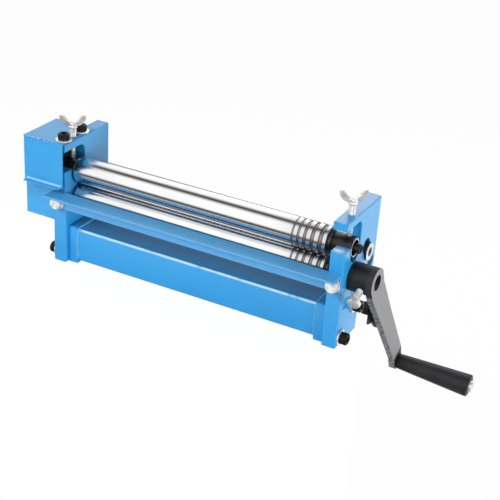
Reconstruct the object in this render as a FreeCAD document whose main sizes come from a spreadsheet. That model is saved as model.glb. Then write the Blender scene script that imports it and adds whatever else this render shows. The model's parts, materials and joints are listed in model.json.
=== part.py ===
# Slip roll machine, 12-inch class: two geared front rolls, a sliding rear roll and a hand crank.
# X runs along the rolls with the crank at the positive end, Y to the rear, Z up, all in millimetres.
# The origin is the centre of the base beam's underside.

import FreeCAD
import Part
import Sketcher
import math
import os
import re

# ---------------------------------------------------------------- driving dimensions
SIZES = [
    # name, value, what it is
    ("frame_gap", 320, "between the inner faces of the frames"),
    ("plate", 16, "thickness of a frame"),
    ("leg_depth", 52, "leg, front to back"),
    ("foot_drop", 3, "feet below the beam's underside"),
    ("edge_chamfer", 0.8, "broken edge of the frames"),
    ("lower_axis", 71.8, "height of the lower roll's axis"),
    ("lip_rise", 3.4, "window floor above the upper roll's axis"),
    ("window_rise", 27, "window roof above the upper roll's axis"),
    ("window_corner", 8, "corner radius of the window"),
    ("pocket_drop", 4.15, "centre of the pocket's round bottom below the upper axis"),
    ("jaw_height", 8.9, "metal above the window"),
    ("slot_tilt", 33, "slant of the rear slot from the vertical, degrees"),
    ("slot_radius", 8.6, "half width of the rear slot"),
    ("slot_length", 28.7, "between the centres of the slot's ends"),
    ("slot_wall", 5.2, "metal below the slot, along its slant"),
    ("slot_rear_wall", 3.9, "metal behind the slot"),
    ("rear_gap", 0.87, "rear roll to upper roll at the top of the slot"),
    ("rear_angle", 18.55, "rear roll below the upper roll at the top of the slot, degrees"),
    ("rear_rest_drop", 10, "rear roll below the top of the slot at rest"),
    ("running_fit", 0.05, "radial clearance of what turns, slides or screws in"),
    ("face_gap", 0.3, "clearance between faces of moving pieces"),
    ("roll_radius", 15.6, "all three rolls"),
    ("nip_gap", 0.3, "between the front rolls"),
    ("roll_left_gap", 3, "left end of the rolls to the left frame"),
    ("roll_right_gap", 11, "right end of the front rolls to the right frame"),
    ("roll_chamfer", 1.2, "chamfer at the ends of the rolls"),
    ("neck_radius", 8.5, "front rolls' necks in their bushes"),
    ("rear_neck_radius", 5, "rear roll's necks"),
    ("groove_count", 5, "wire grooves"),
    ("groove_inset", 37.4, "first wire groove from the rolls' right end"),
    ("groove_pitch", 6.6, "first spacing of the wire grooves"),
    ("groove_pitch_gain", 0.8, "how much each further spacing is wider"),
    ("groove_width", 2.4, "first wire groove"),
    ("groove_width_gain", 0.6, "how much each further groove is wider"),
    ("bush_radius", 11.5, "outside of the front bushes"),
    ("bush_proud", 8.5, "right bushes past the inner face of their frame"),
    ("bush_left_proud", 1.5, "left bushes past the inner face of their frame"),
    ("bush_recess", 0.5, "bushes short of the outer face"),
    ("bush_chamfer", 1, "chamfer of the bushes"),
    ("neck_recess", 5, "upper right neck's shoulder inside its bush"),
    ("stub_radius", 5, "upper roll's stub at the right"),
    ("stub_reach", 6.6, "stub past the outer face of the frame"),
    ("centre_radius", 2.6, "centre hole in a shaft's end"),
    ("centre_depth", 6, "depth of that hole"),
    ("centre_flare", 1.2, "countersink of that hole"),
    ("small_chamfer", 0.6, "shaft ends and collars"),
    ("seat_radius", 7, "gear seats"),
    ("seat_tail", 4, "gear seat past the gear"),
    ("gear_offset", 6, "gears from the left frame's outer face"),
    ("gear_width", 16, "face width of the gears"),
    ("gear_teeth", 18, "teeth of each gear"),
    ("tooth_tip", 1.75, "tooth above the pitch circle"),
    ("tooth_root", 2.2, "tooth below the pitch circle"),
    ("tooth_root_width", 3.7, "tooth at its foot"),
    ("tooth_pitch_width", 2.4, "tooth at the pitch circle"),
    ("tooth_tip_width", 1.1, "tooth at its tip"),
    ("key_width", 4, "square gear keys"),
    ("key_length", 12, "gear keys"),
    ("ring_groove_radius", 6.5, "floor of the retaining rings' grooves"),
    ("ring_thickness", 1.2, "retaining rings"),
    ("ring_radius", 9.6, "outside of the retaining rings"),
    ("ring_mouth", 5, "opening of the retaining rings"),
    ("tube_size", 40, "base beam, square"),
    ("tube_wall", 3, "base beam's wall"),
    ("tube_corner", 4, "base beam's outer corner radius"),
    ("block_length", 12, "end blocks of the base beam"),
    ("block_proud", 1, "end blocks past the beam's faces"),
    ("bar_width", 20, "angle bar's legs"),
    ("bar_wall", 3, "angle bar's thickness"),
    ("bar_rise", 11.7, "angle bar's top above the lower axis"),
    ("bar_inset", 1, "angle bar short of the frames' outer faces"),
    ("bar_inner_corner", 1, "inner corner radius of the angle bar"),
    ("bar_bolt_drop", 12, "bar bolts below the bar's top"),
    ("bar_washer_radius", 8, "washers of the bar bolts"),
    ("screw_radius", 4, "M8 threads"),
    ("hex_flats", 13, "M8 hexagons across flats"),
    ("hex_height", 5.3, "M8 hexagon heads"),
    ("washer_radius", 9, "M8 washers"),
    ("washer_thickness", 1.6, "M8 washers"),
    ("cap_radius", 6.5, "M8 socket heads"),
    ("cap_height", 8, "M8 socket heads"),
    ("cap_socket", 6, "hexagon in the M8 socket heads, across flats"),
    ("cap_socket_depth", 4, "depth of that hexagon"),
    ("bar_bolt_length", 16, "bar bolts under the head"),
    ("base_screw_length", 25, "base screws under the head"),
    ("base_screw_front_inset", 4, "front base screws from the beam's front"),
    ("base_screw_low", 6.5, "front base screws above the beam's underside"),
    ("base_screw_rear_inset", 6.5, "rear base screws from the beam's rear"),
    ("base_screw_top_inset", 8.5, "rear base screws below the beam's top"),
    ("hood_screw_length", 10, "hood screws under the head"),
    ("hood_head_height", 6.4, "hood screw heads"),
    ("hood_screw_front", 17, "front hood screw before the middle"),
    ("hood_screw_back", 15.5, "rear hood screw behind the middle"),
    ("tap_spare", 1, "blind threads deeper than their screws"),
    ("sheet", 1.5, "hood and guard sheet"),
    ("hood_width", 36.4, "hood past the left frame's outer face"),
    ("hood_right_inset", 1.5, "hood short of the left frame's inner face"),
    ("hood_front_gap", 2, "hood's front panel to the frame"),
    ("hood_back", 31, "hood's rear face behind the middle"),
    ("hood_drop", 14.3, "hood's lower edge below the upper axis"),
    ("hood_flange", 6.5, "hood's front flange"),
    ("hood_flange_inset_left", 3, "flange short of the hood's left end"),
    ("hood_flange_inset_right", 1.5, "flange short of the hood's right end"),
    ("hood_wing_hole", 5.5, "radius of the hood's hole for the wing screw"),
    ("guard_width", 39, "guard past the left frame's outer face"),
    ("guard_half_depth", 23, "guard's half depth"),
    ("guard_floor_drop", 26.8, "guard's underside below the lower axis"),
    ("guard_height", 40, "height of the guard"),
    ("guard_flange", 13, "height of the guard's inner flange"),
    ("guard_screw_spread", 14, "guard screws from the middle"),
    ("guard_screw_radius", 2.5, "guard screws, M5"),
    ("guard_screw_length", 8, "guard screws under the head"),
    ("guard_head_radius", 4.5, "guard screw heads"),
    ("guard_head_height", 2.4, "guard screw heads"),
    ("dog_radius", 2.7, "plain tip of the wing screws"),
    ("dog_length", 15, "plain tip of the wing screws"),
    ("wing_rise", 11, "wing screws' collars above the frames"),
    ("collar_radius", 5, "wing screws' collars"),
    ("collar_height", 2, "wing screws' collars"),
    ("barrel_radius", 4.6, "wing screws' barrels"),
    ("barrel_height", 5, "wing screws' barrels"),
    ("wing_half_span", 14, "wing tips from the screw's axis"),
    ("wing_height", 13, "wing tips above the collar's underside"),
    ("wing_thickness", 3, "wings"),
    ("wing_angle_right", 40, "right wings' heading at rest, degrees"),
    ("wing_angle_left", 22, "left wings' heading at rest, degrees"),
    ("block_flat", 7, "rear roll's axis to the slide blocks' flat"),
    ("block_inner_reach", 2.7, "slide blocks past the inner face of their frame"),
    ("end_washer_radius", 9.75, "rear roll's end washers"),
    ("end_washer_thickness", 2.5, "rear roll's end washers"),
    ("end_screw_radius", 3, "rear roll's end screws, M6"),
    ("end_screw_length", 14, "rear roll's end screws under the head"),
    ("end_head_radius", 4.9, "rear roll's end screw heads"),
    ("end_head_height", 1.8, "rear roll's end screw heads"),
    ("end_socket", 4, "hexagon in the end screw heads, across flats"),
    ("knob_distance", 129, "knobs' middle from the rear roll's axis"),
    ("knob_height", 14, "star knobs"),
    ("knob_core_radius", 14.5, "star knobs between their lobes"),
    ("knob_lobes", 6, "lobes of a star knob"),
    ("lobe_radius", 6, "each lobe"),
    ("lobe_circle", 12.4, "lobes from the knob's axis"),
    ("knob_neck_radius", 8, "neck of a star knob"),
    ("knob_neck_height", 7, "neck of a star knob"),
    ("knob_thread_depth", 16, "screw inside its star knob"),
    ("hub_radius", 15.5, "crank hub"),
    ("hub_gap", 1, "crank hub to the right frame"),
    ("hub_length", 20, "crank hub"),
    ("shaft_recess", 6, "lower roll's end inside the crank"),
    ("arm_thickness", 7, "crank arm"),
    ("arm_offset", 12, "outward bend of the crank arm"),
    ("arm_first_crease", 15, "first bend from the hub's axis"),
    ("arm_second_crease", 15, "second bend before the grip's axis"),
    ("arm_waist_distance", 55, "where the arm is narrower, from the hub's axis"),
    ("arm_waist", 24.4, "arm's width there"),
    ("arm_end_width", 18.5, "arm's width at the grip"),
    ("crank_radius", 137, "grip's axis from the hub's axis"),
    ("arm_end_reach", 9.5, "arm past the grip's axis"),
    ("arm_end_cut", 4, "cut corners at the arm's end"),
    ("crank_angle", 27.6, "arm's lean to the rear at rest, degrees"),
    ("grip_tilt", 3.6, "grip's droop at rest, degrees"),
    ("set_bolt_radius", 4, "crank's set bolt, M8"),
    ("set_bolt_inset", 5.8, "set bolt from the hub's outer end"),
    ("set_bolt_flats", 13, "set bolt's head across flats"),
    ("set_bolt_head", 5.3, "set bolt's head"),
    ("set_bolt_reach", 28, "set bolt's head from the hub's axis"),
    ("grip_length", 82.5, "grip"),
    ("grip_inner_radius", 8.2, "grip at the arm"),
    ("grip_outer_radius", 12.2, "grip at its outer end"),
    ("grip_chamfer", 1.2, "grip's edges"),
    ("grip_recess_radius", 8, "recess in the grip's end"),
    ("grip_recess_depth", 4, "recess in the grip's end"),
    ("grip_head_radius", 6.8, "grip screw's head"),
    ("grip_head_height", 7.2, "grip screw's head"),
    ("grip_slot_width", 1.6, "slot in the grip screw's head"),
    ("grip_slot_depth", 2.2, "slot in the grip screw's head"),
]

NAMES = [row[0] for row in SIZES]

# Places worked out from the driving dimensions, as expressions.
INNER = "(frame_gap / 2)"
OUTER = "(frame_gap / 2 + plate)"
MIDDLE = "(frame_gap / 2 + plate / 2)"
LEG_FRONT = "(-leg_depth / 2)"
ROLL_SPACING = "(2 * roll_radius + nip_gap)"
UPPER_AXIS = f"(lower_axis + {ROLL_SPACING})"
WINDOW_FLOOR = f"({UPPER_AXIS} + lip_rise)"
WINDOW_ROOF = f"({UPPER_AXIS} + window_rise)"
FRAME_TOP = f"({WINDOW_ROOF} + jaw_height)"
BORE_RADIUS = "(bush_radius + running_fit)"
THREAD_HOLE = "(screw_radius + running_fit)"

SLOT_SIN = "sin(slot_tilt)"
SLOT_COS = "cos(slot_tilt)"
SLOT_TOP_Y = "((2 * roll_radius + rear_gap) * cos(rear_angle))"
SLOT_TOP_Z = f"({UPPER_AXIS} - (2 * roll_radius + rear_gap) * sin(rear_angle))"
SLOT_LOW_Y = f"({SLOT_TOP_Y} + slot_length * {SLOT_SIN})"
SLOT_LOW_Z = f"({SLOT_TOP_Z} - slot_length * {SLOT_COS})"
REAR_EDGE = f"({SLOT_LOW_Y} + slot_radius + slot_rear_wall)"
REAR_Y = f"({SLOT_TOP_Y} + rear_rest_drop * {SLOT_SIN})"
REAR_Z = f"({SLOT_TOP_Z} - rear_rest_drop * {SLOT_COS})"

ROLL_LEFT = f"(-{INNER} + roll_left_gap)"
ROLL_RIGHT = f"({INNER} - roll_right_gap)"
GEAR_RIGHT = f"(-{OUTER} - gear_offset)"
GEAR_LEFT = f"({GEAR_RIGHT} - gear_width)"
HUB_START = f"({OUTER} + hub_gap)"
HUB_END = f"({HUB_START} + hub_length)"
ARM_END_FACE = f"({HUB_END} + arm_offset + arm_thickness)"
BAR_TOP = "(lower_axis + bar_rise)"
BAR_BOLT_Z = f"({BAR_TOP} - bar_bolt_drop)"
HOOD_LEFT = f"(-{OUTER} - hood_width)"
HOOD_RIGHT = f"(-{INNER} - hood_right_inset)"
HOOD_FRONT = f"({LEG_FRONT} - hood_front_gap - sheet)"
HOOD_BOTTOM = f"({UPPER_AXIS} - hood_drop)"
GUARD_LEFT = f"(-{OUTER} - guard_width)"
GUARD_FLOOR = "(lower_axis - guard_floor_drop)"
GUARD_SCREW_Z = f"({GUARD_FLOOR} + sheet + guard_flange / 2)"

BASE_SCREWS = [("-(tube_size / 2 - base_screw_front_inset)", "base_screw_low"),
               ("(tube_size / 2 - base_screw_rear_inset)", "(tube_size - base_screw_top_inset)")]
HOOD_SCREWS = ["-hood_screw_front", "hood_screw_back"]
GUARD_SCREWS = ["-guard_screw_spread", "guard_screw_spread"]

# Turns that aim a piece's own Z axis.
ALONG_X = ((0, 1, 0), "90")
AGAINST_X = ((0, 1, 0), "-90")
ALONG_Y = ((1, 0, 0), "-90")
ALONG_Z = ((0, 0, 1), "0")
AGAINST_Z = ((1, 0, 0), "180")
UP_THE_SLOT = ((1, 0, 0), "slot_tilt")
X_AXIS = (1, 0, 0)
Z_AXIS = (0, 0, 1)

# The grip's own frame: its origin on the arm's outer face, its X along the grip.
HAND = (f"placement(vector({ARM_END_FACE}; crank_radius * sin(crank_angle); "
        "lower_axis - crank_radius * cos(crank_angle)); rotation(vector(1; 0; 0); crank_angle)) * "
        "placement(vector(0; 0; 0); rotation(vector(0; 1; 0); grip_tilt))")

doc = FreeCAD.newDocument("SlipRoll")
sheet = doc.addObject("Spreadsheet::Sheet", "Sizes")
nodes = []


def fill_sheet():
    for row, (name, size, note) in enumerate(SIZES, start=1):
        sheet.set(f"A{row}", name)
        sheet.set(f"B{row}", str(size))
        sheet.setAlias(f"B{row}", name)
        sheet.set(f"C{row}", note)
    doc.recompute()


# ---------------------------------------------------------------- helpers
def bound(text):
    """Points the size names in an expression at the sheet."""
    return re.sub(r"[a-z][a-z_]+", lambda word: refer(word.group(0)), text)


def refer(word):
    return f"Sizes.{word}" if word in NAMES else word


def bind(thing, prop, text):
    thing.setExpression(prop, bound(text))


def value(text):
    return float(sheet.evalExpression(bound(text)))


def place(thing, at, turn=ALONG_Z, spin="0"):
    """Puts a thing at a place, spun about its own Z and then aimed by a turn."""
    (ax, ay, az), angle = turn
    x, y, z = at
    aimed = f"placement(vector({x}; {y}; {z}); rotation(vector({ax}; {ay}; {az}); {angle}))"
    bind(thing, "Placement", f"{aimed} * placement(vector(0; 0; 0); rotation(vector(0; 0; 1); {spin}))")


def node(thing, label):
    """Registers a finished sub-part under the name of its file."""
    thing.Label = label
    nodes.append(thing)
    return thing


def cylinder(name, radius, height, at, turn=ALONG_Z):
    piece = doc.addObject("Part::Cylinder", name)
    bind(piece, "Radius", radius)
    bind(piece, "Height", height)
    place(piece, at, turn)
    return piece


def box(name, low, high):
    """A box from its lowest to its highest corner."""
    piece = doc.addObject("Part::Box", name)
    for prop, start, end in zip(("Length", "Width", "Height"), low, high):
        bind(piece, prop, f"({end}) - ({start})")
    place(piece, low)
    return piece


def prism(name, flats, height, at, turn=ALONG_Z):
    """A hexagonal prism given by its size across flats, with flats facing its own X."""
    piece = doc.addObject("Part::Prism", name)
    piece.Polygon = 6
    bind(piece, "Circumradius", f"({flats}) / sqrt(3)")
    bind(piece, "Height", height)
    place(piece, at, turn, "30")
    return piece


def fuse(name, pieces):
    piece = doc.addObject("Part::MultiFuse", name)
    piece.Shapes = pieces
    piece.Refine = True
    return piece


def cut(name, base, tools):
    piece = doc.addObject("Part::Cut", name)
    piece.Base = base
    piece.Tool = tools[0] if len(tools) == 1 else fuse(name + "_tools", tools)
    piece.Refine = True
    return piece


def group(name, pieces):
    piece = doc.addObject("Part::Compound", name)
    piece.Links = pieces
    return piece


def origin_feature(body, role):
    return [item for item in body.Origin.OriginFeatures if item.Role == role][0]


def sketch_on(body, plane, name):
    sketch = body.newObject("Sketcher::SketchObject", name)
    sketch.AttachmentSupport = (origin_feature(body, plane), [""])
    sketch.MapMode = "FlatFace"
    return sketch


def constrain(sketch, kind, *links, size=None):
    """Adds a constraint; one with a size is bound to the sheet."""
    if size is None:
        sketch.addConstraint(Sketcher.Constraint(kind, *links))
    else:
        index = sketch.addConstraint(Sketcher.Constraint(kind, *links, value(size)))
        bind(sketch, f"Constraints[{index}]", size)


def pin(sketch, item, spot, across, up):
    """Fixes a point of the sketch from the sketch's origin."""
    constrain(sketch, "DistanceX", -1, 1, item, spot, size=across)
    constrain(sketch, "DistanceY", -1, 1, item, spot, size=up)


def circle(sketch, across, up, radius):
    centre = FreeCAD.Vector(value(across), value(up), 0)
    item = sketch.addGeometry(Part.Circle(centre, FreeCAD.Vector(0, 0, 1), value(radius)))
    pin(sketch, item, 3, across, up)
    constrain(sketch, "Radius", item, size=radius)


def round_corner(before, corner, after, radius):
    """Tangent points and middle point of the arc that rounds a corner."""
    to_before = (before - corner).normalize()
    to_after = (after - corner).normalize()
    half = to_before.getAngle(to_after) / 2
    reach = radius / math.tan(half)
    inward = (to_before + to_after).normalize()
    middle = corner + inward * (radius / math.sin(half) - radius)
    return corner + to_before * reach, middle, corner + to_after * reach


def outline(sketch, corners):
    """Draws a closed outline; a corner is (across, up) or (across, up, radius)."""
    count = len(corners)
    spots = [FreeCAD.Vector(value(corner[0]), value(corner[1]), 0) for corner in corners]
    starts = list(spots)
    ends = list(spots)
    arcs = {}
    for index, corner in enumerate(corners):
        if len(corner) == 3:
            neighbours = (spots[index - 1], spots[(index + 1) % count])
            first, middle, last = round_corner(neighbours[0], spots[index], neighbours[1], value(corner[2]))
            ends[index], starts[index] = first, last
            arcs[index] = sketch.addGeometry(Part.Arc(first, middle, last))
    sides = []
    for index in range(count):
        sides.append(sketch.addGeometry(Part.LineSegment(starts[index], ends[(index + 1) % count])))
    for index, corner in enumerate(corners):
        before, after = sides[index - 1], sides[index]
        if index not in arcs:
            constrain(sketch, "Coincident", before, 2, after, 1)
            pin(sketch, after, 1, corner[0], corner[1])
            continue
        arc = arcs[index]
        first_end = 1 if (sketch.getPoint(arc, 1) - ends[index]).Length < 1e-6 else 2
        constrain(sketch, "Tangent", before, 2, arc, first_end)
        constrain(sketch, "Tangent", arc, 3 - first_end, after, 1)
        constrain(sketch, "Radius", arc, size=corner[2])
        vertex = sketch.addGeometry(Part.Point(spots[index]), True)
        pin(sketch, vertex, 1, corner[0], corner[1])
        constrain(sketch, "PointOnObject", vertex, 1, before)
        constrain(sketch, "PointOnObject", vertex, 1, after)


def stadium(sketch, top, low, radius):
    """A slot outline between two end centres."""
    high = FreeCAD.Vector(value(top[0]), value(top[1]), 0)
    deep = FreeCAD.Vector(value(low[0]), value(low[1]), 0)
    run = (deep - high).normalize()
    side = FreeCAD.Vector(-run.y, run.x, 0) * value(radius)
    cap = run * value(radius)
    upper = sketch.addGeometry(Part.Arc(high + side, high - cap, high - side))
    lower = sketch.addGeometry(Part.Arc(deep - side, deep + cap, deep + side))
    first = sketch.addGeometry(Part.LineSegment(high - side, deep - side))
    second = sketch.addGeometry(Part.LineSegment(deep + side, high + side))
    constrain(sketch, "Tangent", upper, 2, first, 1)
    constrain(sketch, "Tangent", first, 2, lower, 1)
    constrain(sketch, "Tangent", lower, 2, second, 1)
    constrain(sketch, "Tangent", second, 2, upper, 1)
    pin(sketch, upper, 3, top[0], top[1])
    pin(sketch, lower, 3, low[0], low[1])
    constrain(sketch, "Radius", upper, size=radius)


def pad(body, sketch, length, midplane=False):
    feature = body.newObject("PartDesign::Pad", sketch.Name + "_pad")
    feature.Profile = sketch
    feature.Midplane = midplane
    bind(feature, "Length", length)
    doc.recompute()
    return feature


def pocket(body, sketch, midplane=False):
    """Cuts a sketch through the whole body, forward from its plane or both ways."""
    feature = body.newObject("PartDesign::Pocket", sketch.Name + "_cut")
    feature.Profile = sketch
    feature.Type = "ThroughAll"
    feature.Midplane = midplane
    feature.Reversed = not midplane
    doc.recompute()
    return feature


def revolve(body, sketch):
    feature = body.newObject("PartDesign::Revolution", sketch.Name + "_turned")
    feature.Profile = sketch
    feature.ReferenceAxis = (sketch, ["H_Axis"])
    feature.Angle = 360
    doc.recompute()
    return feature


def drill(body, name, radius, depth, at, turn):
    feature = body.newObject("PartDesign::SubtractiveCylinder", name)
    bind(feature, "Radius", radius)
    bind(feature, "Height", depth)
    place(feature, at, turn)
    doc.recompute()


def mill(body, name, low, high):
    feature = body.newObject("PartDesign::SubtractiveBox", name)
    for prop, start, end in zip(("Length", "Width", "Height"), low, high):
        bind(feature, prop, f"({end}) - ({start})")
    place(feature, low)
    doc.recompute()


# ---------------------------------------------------------------- frames
def frame(label, left):
    body = doc.addObject("PartDesign::Body", label)
    profile = sketch_on(body, "YZ_Plane", label + "_outline")
    slope_z = f"({SLOT_LOW_Z} + (({{}} - {SLOT_LOW_Y}) * {SLOT_SIN} - slot_radius - slot_wall) / {SLOT_COS})"
    outline(profile, [
        (LEG_FRONT, "-foot_drop"),
        ("leg_depth / 2", "-foot_drop"),
        ("leg_depth / 2", slope_z.format("leg_depth / 2")),
        (REAR_EDGE, slope_z.format(REAR_EDGE)),
        (REAR_EDGE, FRAME_TOP),
        (LEG_FRONT, FRAME_TOP),
        (LEG_FRONT, WINDOW_ROOF),
        (BORE_RADIUS, WINDOW_ROOF, "window_corner"),
        (BORE_RADIUS, f"{UPPER_AXIS} - pocket_drop"),
        (f"-{BORE_RADIUS}", f"{UPPER_AXIS} - pocket_drop"),
        (f"-{BORE_RADIUS}", WINDOW_FLOOR),
        (LEG_FRONT, WINDOW_FLOOR),
    ])
    plate = pad(body, profile, "plate")
    break_edges(body, plate)
    bores = sketch_on(body, "YZ_Plane", label + "_bores")
    circle(bores, "0", f"{UPPER_AXIS} - pocket_drop", BORE_RADIUS)
    circle(bores, "0", "lower_axis", BORE_RADIUS)
    for across, up in BASE_SCREWS:
        circle(bores, across, up, THREAD_HOLE)
    pocket(body, bores)
    slot = sketch_on(body, "YZ_Plane", label + "_slot")
    stadium(slot, (SLOT_TOP_Y, SLOT_TOP_Z), (SLOT_LOW_Y, SLOT_LOW_Z), "slot_radius")
    pocket(body, slot)

    drill(body, label + "_wing_thread", THREAD_HOLE, "jaw_height + 2 * tap_spare",
          ("plate / 2", "0", f"{WINDOW_ROOF} - tap_spare"), ALONG_Z)
    drill(body, label + "_bar_thread", THREAD_HOLE,
          "bar_bolt_length - washer_thickness - bar_wall + 2 * tap_spare",
          ("plate / 2", f"{LEG_FRONT} - tap_spare", BAR_BOLT_Z), ALONG_Y)
    run = "(slot_radius + slot_wall + tap_spare)"
    drill(body, label + "_adjuster_thread", THREAD_HOLE, run,
          ("plate / 2", f"{SLOT_LOW_Y} + {run} * {SLOT_SIN}", f"{SLOT_LOW_Z} - {run} * {SLOT_COS}"),
          UP_THE_SLOT)
    if left:
        for index, across in enumerate(HOOD_SCREWS):
            drill(body, f"{label}_hood_thread_{index}", THREAD_HOLE,
                  "hood_screw_length - washer_thickness - sheet + 2 * tap_spare",
                  ("plate / 2", across, f"{FRAME_TOP} + tap_spare"), AGAINST_Z)
        for index, across in enumerate(GUARD_SCREWS):
            drill(body, f"{label}_guard_thread_{index}", "guard_screw_radius + running_fit",
                  "guard_screw_length - sheet + 2 * tap_spare",
                  ("-tap_spare", across, GUARD_SCREW_Z), ALONG_X)
    place(body, (f"-{OUTER}" if left else INNER, "0", "0"))
    return node(body, label)


def break_edges(body, plate):
    """Chamfers the outline's edges on both faces of a plate."""
    names = []
    for index, edge in enumerate(plate.Shape.Edges, start=1):
        if edge.BoundBox.XLength < 1e-6:
            names.append(f"Edge{index}")
    feature = body.newObject("PartDesign::Chamfer", plate.Name + "_edges")
    feature.Base = (plate, names)
    bind(feature, "Size", "edge_chamfer")
    doc.recompute()


# ---------------------------------------------------------------- base beam
def base_tube():
    body = doc.addObject("PartDesign::Body", "base_tube")
    profile = sketch_on(body, "YZ_Plane", "base_tube_section")
    for inset, corner in (("0", "tube_corner"), ("tube_wall", "tube_corner - tube_wall")):
        half = f"(tube_size / 2 - {inset})"
        low, high = inset, f"tube_size - {inset}"
        outline(profile, [(f"-{half}", low, corner), (half, low, corner),
                          (half, high, corner), (f"-{half}", high, corner)])
    pad(body, profile, "frame_gap - 2 * block_length")
    place(body, (f"-{INNER} + block_length", "0", "0"))
    node(body, "base_tube")


def base_block(label, start):
    half = "(tube_size / 2 + block_proud)"
    end = f"{start} + block_length"
    solid = box(label + "_solid", (start, f"-{half}", "-foot_drop"), (end, half, "tube_size + block_proud"))
    threads = []
    for index, (across, up) in enumerate(BASE_SCREWS):
        threads.append(cylinder(f"{label}_thread_{index}", THREAD_HOLE, "block_length + 2 * tap_spare",
                                (f"{start} - tap_spare", across, up), ALONG_X))
    node(cut(label, solid, threads), label)


# ---------------------------------------------------------------- fasteners
def washer(name, radius, hole, thickness, at, turn):
    disc = cylinder(name + "_disc", radius, thickness, at, turn)
    bore = cylinder(name + "_hole", hole, thickness, at, turn)
    return cut(name, disc, [bore])


def cap_screw(name, length, at, turn, axis, height="cap_height"):
    """A socket head screw; at is where the head seats, axis the way from the shank to the head."""
    head = cylinder(name + "_head", "cap_radius", height, at, turn)
    shank = cylinder(name + "_shank", "screw_radius", length, shifted(at, axis, f"-{length}"), turn)
    socket = prism(name + "_socket", "cap_socket", "cap_socket_depth",
                   shifted(at, axis, f"{height} - cap_socket_depth"), turn)
    return cut(name, fuse(name + "_solid", [head, shank]), [socket])


def hex_bolt(name, radius, flats, height, length, at, turn, axis):
    """A hexagon bolt; at is where the head seats, axis the way from the shank to the head."""
    head = prism(name + "_head", flats, height, at, turn)
    crown = doc.addObject("Part::Cone", name + "_crown")
    bind(crown, "Radius1", f"({flats}) / 2 + 2 * ({height})")
    bind(crown, "Radius2", f"({flats}) / 2 - small_chamfer")
    bind(crown, "Height", height)
    place(crown, at, turn)
    trimmed = doc.addObject("Part::Common", name + "_trimmed")
    trimmed.Base = head
    trimmed.Tool = crown
    shank = cylinder(name + "_shank", radius, length, shifted(at, axis, f"-{length}"), turn)
    return fuse(name, [trimmed, shank])


def shifted(at, axis, distance):
    """A place moved along a unit axis whose parts may be expressions."""
    return tuple(f"{spot} + ({distance}) * {step}" for spot, step in zip(at, axis))


def base_fasteners():
    screws = []
    washers = []
    for side, turn, axis in ((-1, AGAINST_X, (-1, 0, 0)), (1, ALONG_X, (1, 0, 0))):
        for index, (across, up) in enumerate(BASE_SCREWS):
            tag = f"{'left' if side < 0 else 'right'}_{index}"
            face = (f"{side} * {OUTER}", across, up)
            seat = (f"{side} * ({OUTER} + washer_thickness)", across, up)
            washers.append(washer("base_washer_" + tag, "washer_radius", THREAD_HOLE, "washer_thickness",
                                  face, turn))
            screws.append(cap_screw("base_screw_" + tag, "base_screw_length", seat, turn, axis))
    node(group("base_screws", screws), "base_screws")
    node(group("base_washers", washers), "base_washers")


def hood_fasteners():
    screws = []
    washers = []
    for index, across in enumerate(HOOD_SCREWS):
        face = (f"-{MIDDLE}", across, f"{FRAME_TOP} + sheet")
        seat = (f"-{MIDDLE}", across, f"{FRAME_TOP} + sheet + washer_thickness")
        washers.append(washer(f"hood_washer_{index}", "washer_radius", THREAD_HOLE, "washer_thickness",
                              face, ALONG_Z))
        screws.append(cap_screw(f"hood_screw_{index}", "hood_screw_length", seat, ALONG_Z, Z_AXIS,
                                "hood_head_height"))
    node(group("hood_screws", screws), "hood_screws")
    node(group("hood_washers", washers), "hood_washers")


def bar_fasteners():
    bolts = []
    washers = []
    away_from_rolls = ((1, 0, 0), "90")
    for index, across in enumerate((f"-{MIDDLE}", MIDDLE)):
        face = (across, f"{LEG_FRONT} - bar_wall", BAR_BOLT_Z)
        seat = (across, f"{LEG_FRONT} - bar_wall - washer_thickness", BAR_BOLT_Z)
        washers.append(washer(f"bar_washer_{index}", "bar_washer_radius", THREAD_HOLE, "washer_thickness",
                              face, away_from_rolls))
        bolts.append(hex_bolt(f"bar_bolt_{index}", "screw_radius", "hex_flats", "hex_height",
                              "bar_bolt_length", seat, away_from_rolls, (0, -1, 0)))
    node(group("angle_bar_bolts", bolts), "angle_bar_bolts")
    node(group("angle_bar_washers", washers), "angle_bar_washers")


# ---------------------------------------------------------------- angle bar and covers
def front_angle_bar():
    body = doc.addObject("PartDesign::Body", "front_angle_bar")
    profile = sketch_on(body, "YZ_Plane", "angle_bar_section")
    outline(profile, [
        (f"{LEG_FRONT} - bar_width", BAR_TOP),
        (f"{LEG_FRONT} - bar_width", f"{BAR_TOP} - bar_wall", "bar_wall / 2"),
        (f"{LEG_FRONT} - bar_wall", f"{BAR_TOP} - bar_wall", "bar_inner_corner"),
        (f"{LEG_FRONT} - bar_wall", f"{BAR_TOP} - bar_width", "bar_wall / 2"),
        (LEG_FRONT, f"{BAR_TOP} - bar_width"),
        (LEG_FRONT, BAR_TOP),
    ])
    length = f"(2 * ({OUTER} - bar_inset))"
    pad(body, profile, length)
    for index, across in enumerate(("plate / 2 - bar_inset", f"{length} - plate / 2 + bar_inset")):
        drill(body, f"angle_bar_hole_{index}", THREAD_HOLE, "bar_wall + 2 * tap_spare",
              (across, f"{LEG_FRONT} - bar_wall - tap_spare", BAR_BOLT_Z), ALONG_Y)
    place(body, (f"-{OUTER} + bar_inset", "0", "0"))
    node(body, "front_angle_bar")


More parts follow.
